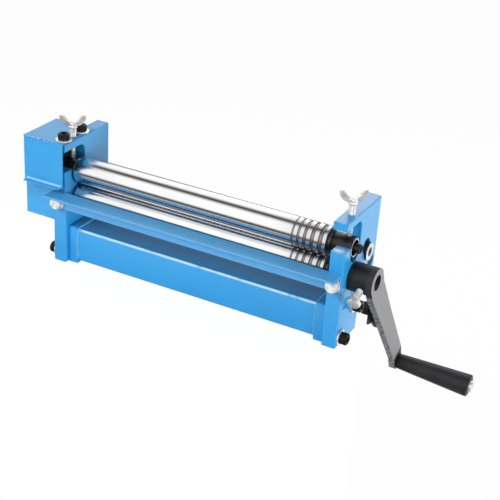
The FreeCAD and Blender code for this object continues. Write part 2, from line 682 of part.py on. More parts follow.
def gear_hood():
    top = f"({FRAME_TOP} + sheet)"
    front, rear = HOOD_FRONT, "hood_back"
    back_edge = f"(-{OUTER} - end_washer_thickness - 2 * face_gap)"
    panels = [
        box("hood_front_panel", (HOOD_LEFT, front, HOOD_BOTTOM), (HOOD_RIGHT, f"{front} + sheet", top)),
        box("hood_top", (HOOD_LEFT, front, FRAME_TOP), (HOOD_RIGHT, rear, top)),
        box("hood_end", (HOOD_LEFT, front, HOOD_BOTTOM), (f"{HOOD_LEFT} + sheet", rear, top)),
        box("hood_back_panel", (HOOD_LEFT, f"{rear} - sheet", HOOD_BOTTOM), (back_edge, rear, top)),
        box("hood_flange", (f"{HOOD_LEFT} + hood_flange_inset_left", f"{front} - hood_flange", HOOD_BOTTOM),
            (f"{HOOD_RIGHT} - hood_flange_inset_right", f"{front} + sheet", f"{HOOD_BOTTOM} + sheet")),
    ]
    under = f"{FRAME_TOP} - tap_spare"
    holes = [cylinder("hood_wing_opening", "hood_wing_hole", "sheet + 2 * tap_spare",
                      (f"-{MIDDLE}", "0", under))]
    for index, across in enumerate(HOOD_SCREWS):
        holes.append(cylinder(f"hood_hole_{index}", THREAD_HOLE, "sheet + 2 * tap_spare",
                              (f"-{MIDDLE}", across, under)))
    node(cut("gear_hood", fuse("gear_hood_panels", panels), holes), "gear_hood")


def gear_guard():
    floor, top = GUARD_FLOOR, f"({GUARD_FLOOR} + guard_height)"
    half, right = "guard_half_depth", f"-{OUTER}"
    panels = [
        box("guard_front", (GUARD_LEFT, f"-{half}", floor), (right, f"-{half} + sheet", top)),
        box("guard_rear", (GUARD_LEFT, f"{half} - sheet", floor), (right, half, top)),
        box("guard_end", (GUARD_LEFT, f"-{half}", floor), (f"{GUARD_LEFT} + sheet", half, top)),
        box("guard_bottom", (GUARD_LEFT, f"-{half}", floor), (right, half, f"{floor} + sheet")),
        box("guard_flange", (f"{right} - sheet", f"-{half}", floor),
            (right, half, f"{floor} + sheet + guard_flange")),
    ]
    holes = []
    screws = []
    for index, across in enumerate(GUARD_SCREWS):
        seat = (f"{right} - sheet", across, GUARD_SCREW_Z)
        tip = (f"{right} - sheet + guard_screw_length", across, GUARD_SCREW_Z)
        holes.append(cylinder(f"guard_hole_{index}", "guard_screw_radius + running_fit",
                              "sheet + 2 * tap_spare", shifted(seat, X_AXIS, "-tap_spare"), ALONG_X))
        head = cylinder(f"guard_screw_head_{index}", "guard_head_radius", "guard_head_height", seat, AGAINST_X)
        shank = cylinder(f"guard_screw_shank_{index}", "guard_screw_radius", "guard_screw_length",
                         tip, AGAINST_X)
        screws.append(fuse(f"guard_screw_{index}", [head, shank]))
    node(cut("gear_guard", fuse("gear_guard_panels", panels), holes), "gear_guard")
    node(group("guard_screws", screws), "guard_screws")


# ---------------------------------------------------------------- bushes
def bush(label, start, end, height):
    """A plain bush between two places along X, with broken outer edges."""
    body = doc.addObject("PartDesign::Body", label)
    profile = sketch_on(body, "XZ_Plane", label + "_section")
    bore, rim = "neck_radius + running_fit", "bush_radius"
    outline(profile, [
        (start, bore), (end, bore), (end, f"{rim} - bush_chamfer"), (f"{end} - bush_chamfer", rim),
        (f"{start} + bush_chamfer", rim), (start, f"{rim} - bush_chamfer"),
    ])
    revolve(body, profile)
    place(body, ("0", "0", height))
    node(body, label)


def bushes():
    for level, height in (("upper", UPPER_AXIS), ("lower", "lower_axis")):
        bush(f"{level}_bush_left", f"-{OUTER} + bush_recess", f"-{INNER} + bush_left_proud", height)
        bush(f"{level}_bush_right", f"{INNER} - bush_proud", f"{OUTER} - bush_recess", height)


# ---------------------------------------------------------------- rolls
def groove_points():
    """Corners of the V-shaped wire grooves, each deeper and further on than the one before."""
    points = []
    for index in range(int(value("groove_count"))):
        run = f"(groove_pitch * {index} + groove_pitch_gain * {index * (index - 1) / 2})"
        centre = f"({ROLL_RIGHT} - groove_inset + {run})"
        half = f"((groove_width + groove_width_gain * {index}) / 2)"
        points.append((f"{centre} - {half}", "roll_radius"))
        points.append((centre, f"roll_radius - {half}"))
        points.append((f"{centre} + {half}", "roll_radius"))
    return points


def gear_end_points():
    """Left end of a front roll, from the shaft's end to the roll's body."""
    tail = f"({GEAR_LEFT} - seat_tail)"
    groove = f"({GEAR_LEFT} - running_fit)"
    return [
        (tail, "0"), (tail, "seat_radius - small_chamfer"), (f"{tail} + small_chamfer", "seat_radius"),
        (f"{groove} - ring_thickness - 2 * running_fit", "seat_radius"),
        (f"{groove} - ring_thickness - 2 * running_fit", "ring_groove_radius"),
        (groove, "ring_groove_radius"), (groove, "seat_radius"),
        (GEAR_RIGHT, "seat_radius"), (GEAR_RIGHT, "neck_radius"),
        (ROLL_LEFT, "neck_radius"), (ROLL_LEFT, "roll_radius - roll_chamfer"),
        (f"{ROLL_LEFT} + roll_chamfer", "roll_radius"),
    ]


def centre_hole_points(end):
    """Countersunk centre hole at a shaft's right end, from its rim inwards."""
    return [
        (end, "centre_radius + centre_flare"), (f"{end} - centre_flare", "centre_radius"),
        (f"{end} - centre_depth", "centre_radius"), (f"{end} - centre_depth", "0"),
    ]


def upper_end_points():
    shoulder = f"({OUTER} - bush_recess - neck_recess)"
    end = f"({OUTER} + stub_reach)"
    return [
        (ROLL_RIGHT, "neck_radius"), (shoulder, "neck_radius"), (shoulder, "stub_radius"),
        (f"{end} - small_chamfer", "stub_radius"), (end, "stub_radius - small_chamfer"),
    ] + centre_hole_points(end)


def lower_end_points():
    end = f"({HUB_END} + arm_thickness - shaft_recess)"
    return [
        (ROLL_RIGHT, "neck_radius"), (f"{end} - small_chamfer", "neck_radius"),
        (end, "neck_radius - small_chamfer"),
    ] + centre_hole_points(end)


def front_roll(label, height, turn, right_end):
    body = doc.addObject("PartDesign::Body", label)
    profile = sketch_on(body, "XZ_Plane", label + "_section")
    rim = [(f"{ROLL_RIGHT} - roll_chamfer", "roll_radius"), (ROLL_RIGHT, "roll_radius - roll_chamfer")]
    outline(profile, gear_end_points() + groove_points() + rim + right_end)
    revolve(body, profile)
    half = "(key_width / 2 + running_fit)"
    start, end = key_ends()
    mill(body, label + "_keyway", (f"{start} - running_fit", f"-{half}", f"seat_radius - {half}"),
         (f"{end} + running_fit", half, "seat_radius + key_width"))
    place(body, ("0", "0", height), (X_AXIS, turn))
    node(body, label)


def rear_roll():
    body = doc.addObject("PartDesign::Body", "rear_roll")
    profile = sketch_on(body, "XZ_Plane", "rear_roll_section")
    shoulder = f"({INNER} - block_inner_reach - face_gap)"
    end = f"({OUTER} + face_gap)"
    hole = "end_screw_radius + running_fit"
    depth = "end_screw_length + tap_spare"
    right = [
        (f"{shoulder} - roll_chamfer", "roll_radius"), (shoulder, "roll_radius - roll_chamfer"),
        (shoulder, "rear_neck_radius"), (end, "rear_neck_radius"), (end, hole),
        (f"{end} - ({depth})", hole), (f"{end} - ({depth})", "0"),
    ]
    left = [(f"-({across})", up) for across, up in reversed(right)]
    outline(profile, left + right)
    revolve(body, profile)
    place(body, ("0", REAR_Y, REAR_Z))
    node(body, "rear_roll")


# ---------------------------------------------------------------- gears
def key_ends():
    middle = f"({GEAR_RIGHT} - gear_width / 2)"
    return f"{middle} - key_length / 2", f"{middle} + key_length / 2"


def gear_set(level, height, turn):
    """The gear, key and retaining ring on a front roll's left end."""
    gear(f"{level}_gear", height, turn)
    half = "key_width / 2"
    start, end = key_ends()
    key = box(f"{level}_gear_key", (start, f"-{half}", f"seat_radius - {half}"),
              (end, half, f"seat_radius + {half}"))
    place(key, (start, key_offset("y", turn), f"{height} + " + key_offset("z", turn)), (X_AXIS, turn))
    node(key, f"{level}_gear_key")

    at = (f"{GEAR_LEFT} - 2 * running_fit - ring_thickness", "0", height)
    disc = cylinder(f"{level}_ring_disc", "ring_radius", "ring_thickness", at, ALONG_X)
    bore = cylinder(f"{level}_ring_bore", "ring_groove_radius + running_fit", "ring_thickness", at, ALONG_X)
    mouth = box(f"{level}_ring_mouth", (at[0], "-ring_mouth / 2", f"{height} - ring_radius"),
                (f"{at[0]} + ring_thickness", "ring_mouth / 2", height))
    node(cut(f"{level}_gear_ring", disc, [bore, mouth]), f"{level}_gear_ring")


def key_offset(direction, turn):
    """Where a key's low corner lies from the roll's axis once the roll is turned."""
    across, up = "-key_width / 2", "(seat_radius - key_width / 2)"
    if direction == "y":
        return f"({across} * cos({turn}) - {up} * sin({turn}))"
    return f"({across} * sin({turn}) + {up} * cos({turn}))"


def gear(label, height, turn):
    body = doc.addObject("PartDesign::Body", label)
    blank = sketch_on(body, "YZ_Plane", label + "_blank")
    pitch, foot = f"({ROLL_SPACING} / 2)", f"({ROLL_SPACING} / 2 - tooth_root)"
    circle(blank, "0", "0", foot)
    pad(body, blank, "gear_width")
    profile = sketch_on(body, "YZ_Plane", label + "_tooth")
    flank = [("tooth_root_width / 2", f"{foot} - tooth_root / 2"), ("tooth_root_width / 2", foot),
             ("tooth_pitch_width / 2", pitch), ("tooth_tip_width / 2", f"{pitch} + tooth_tip")]
    mirrored = [(f"-{across}", up) for across, up in reversed(flank)]
    outline(profile, flank + mirrored)
    tooth = pad(body, profile, "gear_width")
    ring = body.newObject("PartDesign::PolarPattern", label + "_teeth")
    ring.Originals = [tooth]
    ring.Axis = (origin_feature(body, "X_Axis"), [""])
    ring.Angle = 360
    bind(ring, "Occurrences", "gear_teeth")
    body.Tip = ring
    doc.recompute()
    bore = sketch_on(body, "YZ_Plane", label + "_bore")
    circle(bore, "0", "0", "seat_radius + running_fit")
    pocket(body, bore)
    half = "(key_width / 2 + running_fit)"
    mill(body, label + "_keyway", ("-tap_spare", f"-{half}", "0"),
         ("gear_width + tap_spare", half, f"seat_radius + {half}"))
    place(body, (GEAR_LEFT, "0", height), (X_AXIS, turn))
    node(body, label)


# ---------------------------------------------------------------- wing screws
def wing_screw(label, across, heading):
    """The body is turned from a section drawn along X, then stood up."""
    body = doc.addObject("PartDesign::Body", label)
    tip = f"({UPPER_AXIS} + bush_radius + face_gap)"
    collar = f"({FRAME_TOP} + wing_rise - {tip})"
    barrel = f"({collar} + collar_height)"
    top = f"({barrel} + barrel_height)"
    profile = sketch_on(body, "XZ_Plane", label + "_section")
    outline(profile, [
        ("0", "0"), ("0", "dog_radius - small_chamfer"), ("small_chamfer", "dog_radius"),
        ("dog_length", "dog_radius"), ("dog_length", "screw_radius - small_chamfer"),
        ("dog_length + small_chamfer", "screw_radius"), (collar, "screw_radius"),
        (collar, "collar_radius"), (barrel, "collar_radius"), (barrel, "barrel_radius"),
        (f"{top} - small_chamfer", "barrel_radius"), (top, "barrel_radius - small_chamfer"), (top, "0"),
    ])
    revolve(body, profile)
    wings = sketch_on(body, "XZ_Plane", label + "_wings")
    root = "(barrel_radius - small_chamfer)"
    for side in ("1", "-1"):
        spread = "(wing_half_span - barrel_radius)"
        outline(wings, [
            (f"{barrel} + small_chamfer", f"{side} * {root}"),
            (f"{barrel} + wing_height * 0.1", f"{side} * (barrel_radius + {spread} * 0.3)"),
            (f"{collar} + wing_height * 0.55", f"{side} * wing_half_span", "wing_thickness"),
            (f"{collar} + wing_height", f"{side} * (wing_half_span - {spread} * 0.1)", "wing_thickness * 0.7"),
            (f"{collar} + wing_height * 0.95", f"{side} * (barrel_radius + {spread} * 0.4)", "wing_thickness * 0.7"),
            (f"{top} - small_chamfer", f"{side} * {root}"),
        ])
    pad(body, wings, "wing_thickness", midplane=True)
    stood_up = f"placement(vector({across}; 0; {tip}); rotation(vector(0; 0; 1); {heading}))"
    bind(body, "Placement", f"{stood_up} * placement(vector(0; 0; 0); rotation(vector(0; 1; 0); -90))")
    node(body, label)


# ---------------------------------------------------------------- rear roll's carriage
def slide_block(label, side):
    """A round block with a flat that the adjusting screw bears on."""
    radius = "(slot_radius - running_fit)"
    length = "(plate + block_inner_reach)"
    low = f"({side} * ({INNER} - block_inner_reach + {length} / 2) - {length} / 2)"
    at = (low, REAR_Y, REAR_Z)
    solid = cylinder(label + "_solid", radius, length, at, ALONG_X)
    bore = cylinder(label + "_bore", "rear_neck_radius + running_fit", length, at, ALONG_X)
    waste = doc.addObject("Part::Box", label + "_waste")
    bind(waste, "Length", length)
    bind(waste, "Width", f"2 * {radius}")
    bind(waste, "Height", radius)
    drop = f"(block_flat + {radius})"
    corner_y = f"{REAR_Y} - {radius} * {SLOT_COS} + {drop} * {SLOT_SIN}"
    corner_z = f"{REAR_Z} - {radius} * {SLOT_SIN} - {drop} * {SLOT_COS}"
    place(waste, (low, corner_y, corner_z), UP_THE_SLOT)
    node(cut(label, solid, [bore, waste]), label)


def rear_end_pieces():
    washers = []
    screws = []
    for tag, side, turn in (("left", "-1", AGAINST_X), ("right", "1", ALONG_X)):
        face = (f"{side} * ({OUTER} + face_gap)", REAR_Y, REAR_Z)
        axis = (side, "0", "0")
        outer = shifted(face, axis, "end_washer_thickness")
        seat = shifted(face, axis, "end_washer_thickness - end_head_height")
        disc = cylinder(f"end_washer_disc_{tag}", "end_washer_radius", "end_washer_thickness", face, turn)
        hole = cylinder(f"end_washer_hole_{tag}", "end_screw_radius + running_fit",
                        "end_washer_thickness", face, turn)
        sink = cylinder(f"end_washer_sink_{tag}", "end_head_radius + running_fit", "end_head_height",
                        seat, turn)
        washers.append(cut(f"end_washer_{tag}", disc, [hole, sink]))
        head = cylinder(f"end_screw_head_{tag}", "end_head_radius", "end_head_height", seat, turn)
        run = "(end_screw_length + end_washer_thickness - end_head_height)"
        shank = cylinder(f"end_screw_shank_{tag}", "end_screw_radius", run,
                         shifted(seat, axis, f"-{run}"), turn)
        socket = prism(f"end_screw_socket_{tag}", "end_socket", "end_socket",
                       shifted(outer, axis, "-end_socket"), turn)
        screws.append(cut(f"end_screw_{tag}", fuse(f"end_screw_solid_{tag}", [head, shank]), [socket]))
    node(group("rear_end_washers", washers), "rear_end_washers")
    node(group("rear_end_screws", screws), "rear_end_screws")


def down_the_slot(across, distance):
    """A place on an adjusting screw's axis, measured down from the rear roll's axis."""
    return (across, f"{REAR_Y} + ({distance}) * {SLOT_SIN}", f"{REAR_Z} - ({distance}) * {SLOT_COS}")


def adjuster(tag, across):
    bottom = "(knob_distance + knob_height / 2)"
    neck_top = "(knob_distance - knob_height / 2 - knob_neck_height)"
    tip = "(block_flat + face_gap)"
    screw_end = f"({neck_top} + knob_thread_depth)"
    screw = cylinder(f"{tag}_adjusting_screw", "screw_radius", f"{screw_end} - {tip}",
                     down_the_slot(across, screw_end), UP_THE_SLOT)
    node(screw, f"{tag}_adjusting_screw")

    at = down_the_slot(across, bottom)
    pieces = [cylinder(f"{tag}_knob_core", "knob_core_radius", "knob_height", at, UP_THE_SLOT),
              cylinder(f"{tag}_knob_neck", "knob_neck_radius", "knob_height + knob_neck_height",
                       at, UP_THE_SLOT)]
    count = int(value("knob_lobes"))
    for index in range(count):
        angle = f"(360 * {index} / knob_lobes)"
        lobe_x = f"(lobe_circle * cos({angle}))"
        lobe_y = f"(lobe_circle * sin({angle}))"
        spot = (f"{at[0]} + {lobe_x}", f"{at[1]} + {lobe_y} * {SLOT_COS}", f"{at[2]} + {lobe_y} * {SLOT_SIN}")
        pieces.append(cylinder(f"{tag}_knob_lobe_{index}", "lobe_radius", "knob_height", spot, UP_THE_SLOT))
    thread = cylinder(f"{tag}_knob_thread", THREAD_HOLE, "knob_thread_depth + tap_spare",
                      down_the_slot(across, f"{screw_end} + tap_spare / 2"), UP_THE_SLOT)
    node(cut(f"{tag}_star_knob", fuse(f"{tag}_knob_solid", pieces), [thread]), f"{tag}_star_knob")


# ---------------------------------------------------------------- crank
def crank_hub():
    at = (HUB_START, "0", "lower_axis")
    solid = cylinder("crank_hub_solid", "hub_radius", "hub_length", at, ALONG_X)
    bore = cylinder("crank_hub_bore", "neck_radius + running_fit", "hub_length", at, ALONG_X)
    thread = cylinder("crank_hub_thread", "set_bolt_radius + running_fit", "hub_radius",
                      (set_bolt_x(), "0", "lower_axis"), set_bolt_turn())
    node(cut("crank_hub", solid, [bore, thread]), "crank_hub")

    seat = (set_bolt_x(), "-set_bolt_reach * cos(crank_angle)",
            "lower_axis - set_bolt_reach * sin(crank_angle)")
    length = "(set_bolt_reach - neck_radius - running_fit)"
    bolt = hex_bolt("crank_set_bolt", "set_bolt_radius", "set_bolt_flats", "set_bolt_head", length,
                    seat, set_bolt_turn(), ("0", "-cos(crank_angle)", "-sin(crank_angle)"))
    node(bolt, "crank_set_bolt")


def set_bolt_x():
    return f"({HUB_END} - set_bolt_inset)"


def set_bolt_turn():
    """Square to the arm, to the front."""
    return (X_AXIS, "(90 + crank_angle)")


def crank_arm():
    """Drawn hanging straight down from the hub's axis, then swung to its place."""
    body = doc.addObject("PartDesign::Body", "crank_arm")
    end = "(crank_radius + arm_end_reach)"
    flat = sketch_on(body, "YZ_Plane", "arm_outline")
    half_end = "(arm_end_width / 2)"
    right = [("arm_waist / 2", "-arm_waist_distance"), (half_end, f"-({end} - arm_end_cut * 1.6)"),
             (f"{half_end} - arm_end_cut", f"-{end}")]
    left = [(f"-({across})", down) for across, down in reversed(right)]
    outline(flat, [("hub_radius", "0")] + right + left + [("-hub_radius", "0")])
    reach = "(arm_offset + arm_thickness + 3 * tap_spare)"
    pad(body, flat, f"{reach} - tap_spare")
    head = sketch_on(body, "YZ_Plane", "arm_head")
    circle(head, "0", "0", "hub_radius")
    pad(body, head, "arm_thickness")
    top = "(hub_radius + tap_spare)"
    past_end = f"({end} + tap_spare)"
    bend = "(crank_radius - arm_second_crease)"
    inner_bend = arm_face(bend) + " - arm_thickness / cos(grip_tilt)"
    inner_end = arm_face(past_end) + " - arm_thickness / cos(grip_tilt)"
    below = sketch_on(body, "XZ_Plane", "arm_inner_side")
    outline(below, [("0", "-arm_first_crease"), (inner_bend, f"-{bend}"),
                    (inner_end, f"-{past_end}"), ("-tap_spare", f"-{past_end}"),
                    ("-tap_spare", "-arm_first_crease")])
    pocket(body, below, midplane=True)
    above = sketch_on(body, "XZ_Plane", "arm_outer_side")
    outline(above, [("arm_thickness", top), ("arm_thickness", "-arm_first_crease"),
                    (arm_face(bend), f"-{bend}"),
                    (arm_face(past_end), f"-{past_end}"), (reach, f"-{past_end}"), (reach, top)])
    pocket(body, above, midplane=True)
    bore = sketch_on(body, "YZ_Plane", "arm_bore")
    circle(bore, "0", "0", "neck_radius + running_fit")
    pocket(body, bore)
    run = "(2 * tap_spare)"
    drill(body, "arm_grip_hole", THREAD_HOLE, f"arm_thickness + 2 * {run}",
          (f"arm_offset + arm_thickness + {run} * cos(grip_tilt)", "0",
           f"-crank_radius - {run} * sin(grip_tilt)"), ((0, 1, 0), "grip_tilt - 90"))
    place(body, (HUB_END, "0", "lower_axis"), (X_AXIS, "crank_angle"))
    node(body, "crank_arm")


def arm_face(down):
    """The outer face of the arm's tilted end, at a distance from the hub's axis."""
    return f"(arm_offset + arm_thickness - ({down} - crank_radius) * tan(grip_tilt))"


def grip_pieces():
    """Drawn along X from the arm's outer face, then carried to the crank's hand."""
    body = doc.addObject("PartDesign::Body", "crank_grip")
    profile = sketch_on(body, "XZ_Plane", "grip_section")
    hole = "(screw_radius + running_fit)"
    start, end = "face_gap", "(face_gap + grip_length)"
    floor = f"({end} - grip_recess_depth)"
    outline(profile, [
        (start, hole), (start, "grip_inner_radius - grip_chamfer"),
        (f"{start} + grip_chamfer", "grip_inner_radius"),
        (f"{end} - grip_chamfer", "grip_outer_radius"),
        (end, "grip_outer_radius - grip_chamfer"),
        (end, "grip_recess_radius"), (floor, "grip_recess_radius"), (floor, hole),
    ])
    revolve(body, profile)
    carry(body, "crank_grip")

    seat = f"({floor} + face_gap)"
    tip = "(-arm_thickness)"
    head = cylinder("grip_screw_head", "grip_head_radius", "grip_head_height", (seat, "0", "0"), ALONG_X)
    shank = cylinder("grip_screw_shank", "screw_radius", f"{seat} - {tip}", (tip, "0", "0"), ALONG_X)
    slot = box("grip_screw_slot",
               (f"{seat} + grip_head_height - grip_slot_depth", "-grip_slot_width / 2", "-grip_head_radius"),
               (f"{seat} + grip_head_height", "grip_slot_width / 2", "grip_head_radius"))
    carry(cut("grip_screw", fuse("grip_screw_solid", [head, shank]), [slot]), "grip_screw")


def carry(thing, label):
    bind(thing, "Placement", HAND)
    node(thing, label)


# ---------------------------------------------------------------- the whole machine
def build():
    frame("left_frame", left=True)
    frame("right_frame", left=False)
    base_tube()
    base_block("left_base_block", f"-{INNER}")
    base_block("right_base_block", f"({INNER} - block_length)")
    base_fasteners()
    front_angle_bar()
    bar_fasteners()
    gear_hood()
    hood_fasteners()
    gear_guard()
    bushes()

    half_tooth = "(180 / gear_teeth)"
    front_roll("upper_roll", UPPER_AXIS, half_tooth, upper_end_points())
    front_roll("lower_roll", "lower_axis", "0", lower_end_points())
    gear_set("upper", UPPER_AXIS, half_tooth)
    gear_set("lower", "lower_axis", "0")

    wing_screw("left_wing_screw", f"-{MIDDLE}", "wing_angle_left")
    wing_screw("right_wing_screw", MIDDLE, "wing_angle_right")

    rear_roll()
    slide_block("left_slide_block", "-1")
    slide_block("right_slide_block", "1")
    rear_end_pieces()
    adjuster("left", f"-{MIDDLE}")
    adjuster("right", MIDDLE)

    crank_hub()
    crank_arm()
    grip_pieces()


def check():
    """Stops at the first object that failed or sub-part that isn't a sound solid."""
    doc.recompute()
    for thing in doc.Objects:
        if "Invalid" in thing.State or "Error" in thing.State:
            raise RuntimeError(f"{thing.Name} failed: {thing.State}")
    for thing in nodes:
        if thing.Shape.isNull() or not thing.Shape.isValid() or not thing.Shape.Solids:
            raise RuntimeError(f"{thing.Label} has no valid shape")


def export():
    os.makedirs("parts", exist_ok=True)
    for thing in nodes:
        thing.Shape.exportStep(f"parts/{thing.Label}.step")


fill_sheet()
build()
check()
export()
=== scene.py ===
import json
import math

import bmesh
import bpy
from mathutils import Matrix, Vector


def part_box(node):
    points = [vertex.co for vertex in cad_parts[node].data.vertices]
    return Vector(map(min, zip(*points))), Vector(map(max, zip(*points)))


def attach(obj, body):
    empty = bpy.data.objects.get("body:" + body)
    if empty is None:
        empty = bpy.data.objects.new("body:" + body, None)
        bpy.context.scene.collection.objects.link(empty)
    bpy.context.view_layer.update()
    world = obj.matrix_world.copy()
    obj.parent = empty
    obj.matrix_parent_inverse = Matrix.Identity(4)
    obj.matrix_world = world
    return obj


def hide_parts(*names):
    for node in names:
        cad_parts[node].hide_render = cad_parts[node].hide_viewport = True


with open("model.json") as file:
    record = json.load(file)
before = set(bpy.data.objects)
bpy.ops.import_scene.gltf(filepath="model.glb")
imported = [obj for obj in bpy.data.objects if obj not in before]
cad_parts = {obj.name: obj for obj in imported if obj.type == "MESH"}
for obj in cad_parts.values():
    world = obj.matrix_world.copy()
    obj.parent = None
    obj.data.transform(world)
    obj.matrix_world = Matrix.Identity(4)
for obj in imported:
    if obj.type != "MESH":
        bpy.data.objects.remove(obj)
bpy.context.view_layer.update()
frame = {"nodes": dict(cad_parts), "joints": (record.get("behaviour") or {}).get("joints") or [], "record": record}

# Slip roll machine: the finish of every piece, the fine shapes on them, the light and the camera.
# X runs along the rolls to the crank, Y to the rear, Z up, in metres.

MM = 0.001
FULL = 2 * math.pi

# ---------------------------------------------------------------- places taken from the frame
JOINTS = {joint["name"]: joint for joint in frame["joints"]}
RIGHT_INNER, RIGHT_OUTER = (corner.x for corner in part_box("right_frame"))
LEFT_OUTER, LEFT_INNER = (corner.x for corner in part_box("left_frame"))
FRAME_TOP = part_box("right_frame")[1].z
FOOT_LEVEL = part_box("right_frame")[0].z
LOWER_AXIS = sum(corner.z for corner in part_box("lower_bush_right")) / 2
UPPER_AXIS = sum(corner.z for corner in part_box("upper_bush_right")) / 2
FRONT_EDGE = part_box("right_frame")[0].y
REAR_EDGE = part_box("right_frame")[1].y
ROLL_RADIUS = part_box("rear_roll")[1].z - JOINTS["rear_roll_spin"]["pos_m"][2]
REAR_AXIS = Vector(JOINTS["rear_roll_spin"]["pos_m"])
UP_THE_SLOT = Vector(JOINTS["rear_roll_adjust"]["axis"])
GRIP_BASE = Vector(JOINTS["grip_spin"]["pos_m"])
GRIP_AXIS = Vector(JOINTS["grip_spin"]["axis"])
CRANK_SWING = math.atan2(GRIP_BASE.y, LOWER_AXIS - GRIP_BASE.z)
CRANK_REACH = math.hypot(GRIP_BASE.y, LOWER_AXIS - GRIP_BASE.z)
X = Vector((1, 0, 0))
UP = Vector((0, 0, 1))


# ---------------------------------------------------------------- node trees written as sums
class Wire:
    """One output of a node, which takes part in Python arithmetic."""

    def __init__(self, tree, socket):
        self.tree = tree
        self.socket = socket

    def math(self, operation, *others):
        return self.tree.add("ShaderNodeMath", {"operation": operation}, dict(enumerate((self, *others))))

    def __add__(self, other):
        return self.math("ADD", other)

    def __mul__(self, other):
        return self.math("MULTIPLY", other)

    def __sub__(self, other):
        return self.math("SUBTRACT", other)

    def __truediv__(self, other):
        return self.math("DIVIDE", other)

    def __pow__(self, other):
        return self.math("POWER", other)

    def __rsub__(self, other):
        return self.tree.add("ShaderNodeMath", {"operation": "SUBTRACT"}, {0: other, 1: self})

    def __rtruediv__(self, other):
        return self.tree.add("ShaderNodeMath", {"operation": "DIVIDE"}, {0: other, 1: self})

    __radd__ = __add__
    __rmul__ = __mul__

    def between(self, low, high, start=0.0, end=1.0):
        """Goes smoothly from start to end as the value goes from low to high."""
        return self.tree.add("ShaderNodeMapRange", {"interpolation_type": "SMOOTHSTEP"},
                             {0: self, 1: low, 2: high, 3: start, 4: end})

    def near(self, middle, reach):
        """1 at the middle, falling smoothly to 0 at the reach."""
        return (self - middle).math("ABSOLUTE").between(reach, 0.0)


class Tree:
    """A node tree to which nodes are added with their settings and inputs in one line."""

    def __init__(self, nodes):
        self.nodes = nodes

    def add(self, kind, settings=None, sockets=None, out=0):
        node = self.nodes.nodes.new(kind)
        for name, setting in (settings or {}).items():
            setattr(node, name, setting)
        for name, content in (sockets or {}).items():
            if isinstance(content, Wire):
                self.nodes.links.new(content.socket, node.inputs[name])
            else:
                node.inputs[name].default_value = content
        return Wire(self, node.outputs[out]) if node.outputs else node


class Finish(Tree):
    """A material that ends in one Principled BSDF."""

    def __init__(self, name):
        self.material = bpy.data.materials.new(name)
        self.material.use_nodes = True
        super().__init__(self.material.node_tree)
        self.nodes.nodes.clear()
        self.place = self.add("ShaderNodeTexCoord", out="Object")
        self.x, self.y, self.z = (self.add("ShaderNodeSeparateXYZ", sockets={0: self.place}, out=axis)
                                  for axis in range(3))

    def noise(self, scale, detail=3.0, stretch=(1, 1, 1), roughness=0.5):
        spot = self.add("ShaderNodeVectorMath", {"operation": "MULTIPLY"}, {0: self.place, 1: stretch})
        return self.add("ShaderNodeTexNoise",
                        sockets={"Vector": spot, "Scale": scale, "Detail": detail, "Roughness": roughness})

    def cells(self, scale):
        return self.add("ShaderNodeTexVoronoi", sockets={"Vector": self.place, "Scale": scale})

    def mix(self, first, second, share):
        return self.add("ShaderNodeMix", {"data_type": "RGBA"}, {0: share, 6: first, 7: second}, out=2)

    def edges(self, reach, gain=3.0):
        """1 on outer and inner edges, within a reach."""
        rounded = self.add("ShaderNodeBevel", {"samples": 6}, {"Radius": reach})
        flat = self.add("ShaderNodeNewGeometry", out="Normal")
        alike = self.add("ShaderNodeVectorMath", {"operation": "DOT_PRODUCT"}, {0: rounded, 1: flat}, out=1)
        return ((1.0 - alike) * gain).math("MINIMUM", 1.0)

    def bump(self, height, depth, normal=None):
        sockets = {"Height": height, "Distance": depth, "Strength": 1.0}
        if normal:
            sockets["Normal"] = normal
        return self.add("ShaderNodeBump", sockets=sockets)

    def facing(self):
        """How far a face looks along the rolls."""
        normal = self.add("ShaderNodeNewGeometry", out="Normal")
        return self.add("ShaderNodeSeparateXYZ", sockets={0: normal})

    def soften(self, reach):
        return self.add("ShaderNodeBevel", {"samples": 6}, {"Radius": reach})

    def done(self, **sockets):
        names = {key.replace("_", " "): content for key, content in sockets.items()}
        surface = self.add("ShaderNodeBsdfPrincipled", sockets=names)
        self.add("ShaderNodeOutputMaterial", sockets={"Surface": surface})
        return self.material


def shade(red, green, blue):
    return (red, green, blue, 1.0)


# ---------------------------------------------------------------- finishes
PAINT = shade(0.028, 0.350, 0.745)
PAINT_DEEP = shade(0.018, 0.240, 0.560)
# the paler blue that paints highlights on the enamel
PAINT_HIGHLIGHT = shade(0.300, 0.600, 0.880)
BEAM_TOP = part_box("base_tube")[1].z
BEAM_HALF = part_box("base_tube")[1].y
BARE_METAL = shade(0.55, 0.56, 0.58)
COVERS_MIDDLE = ((LEFT_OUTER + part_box("gear_hood")[0].x) / 2, 0.0, (LOWER_AXIS + UPPER_AXIS) / 2)


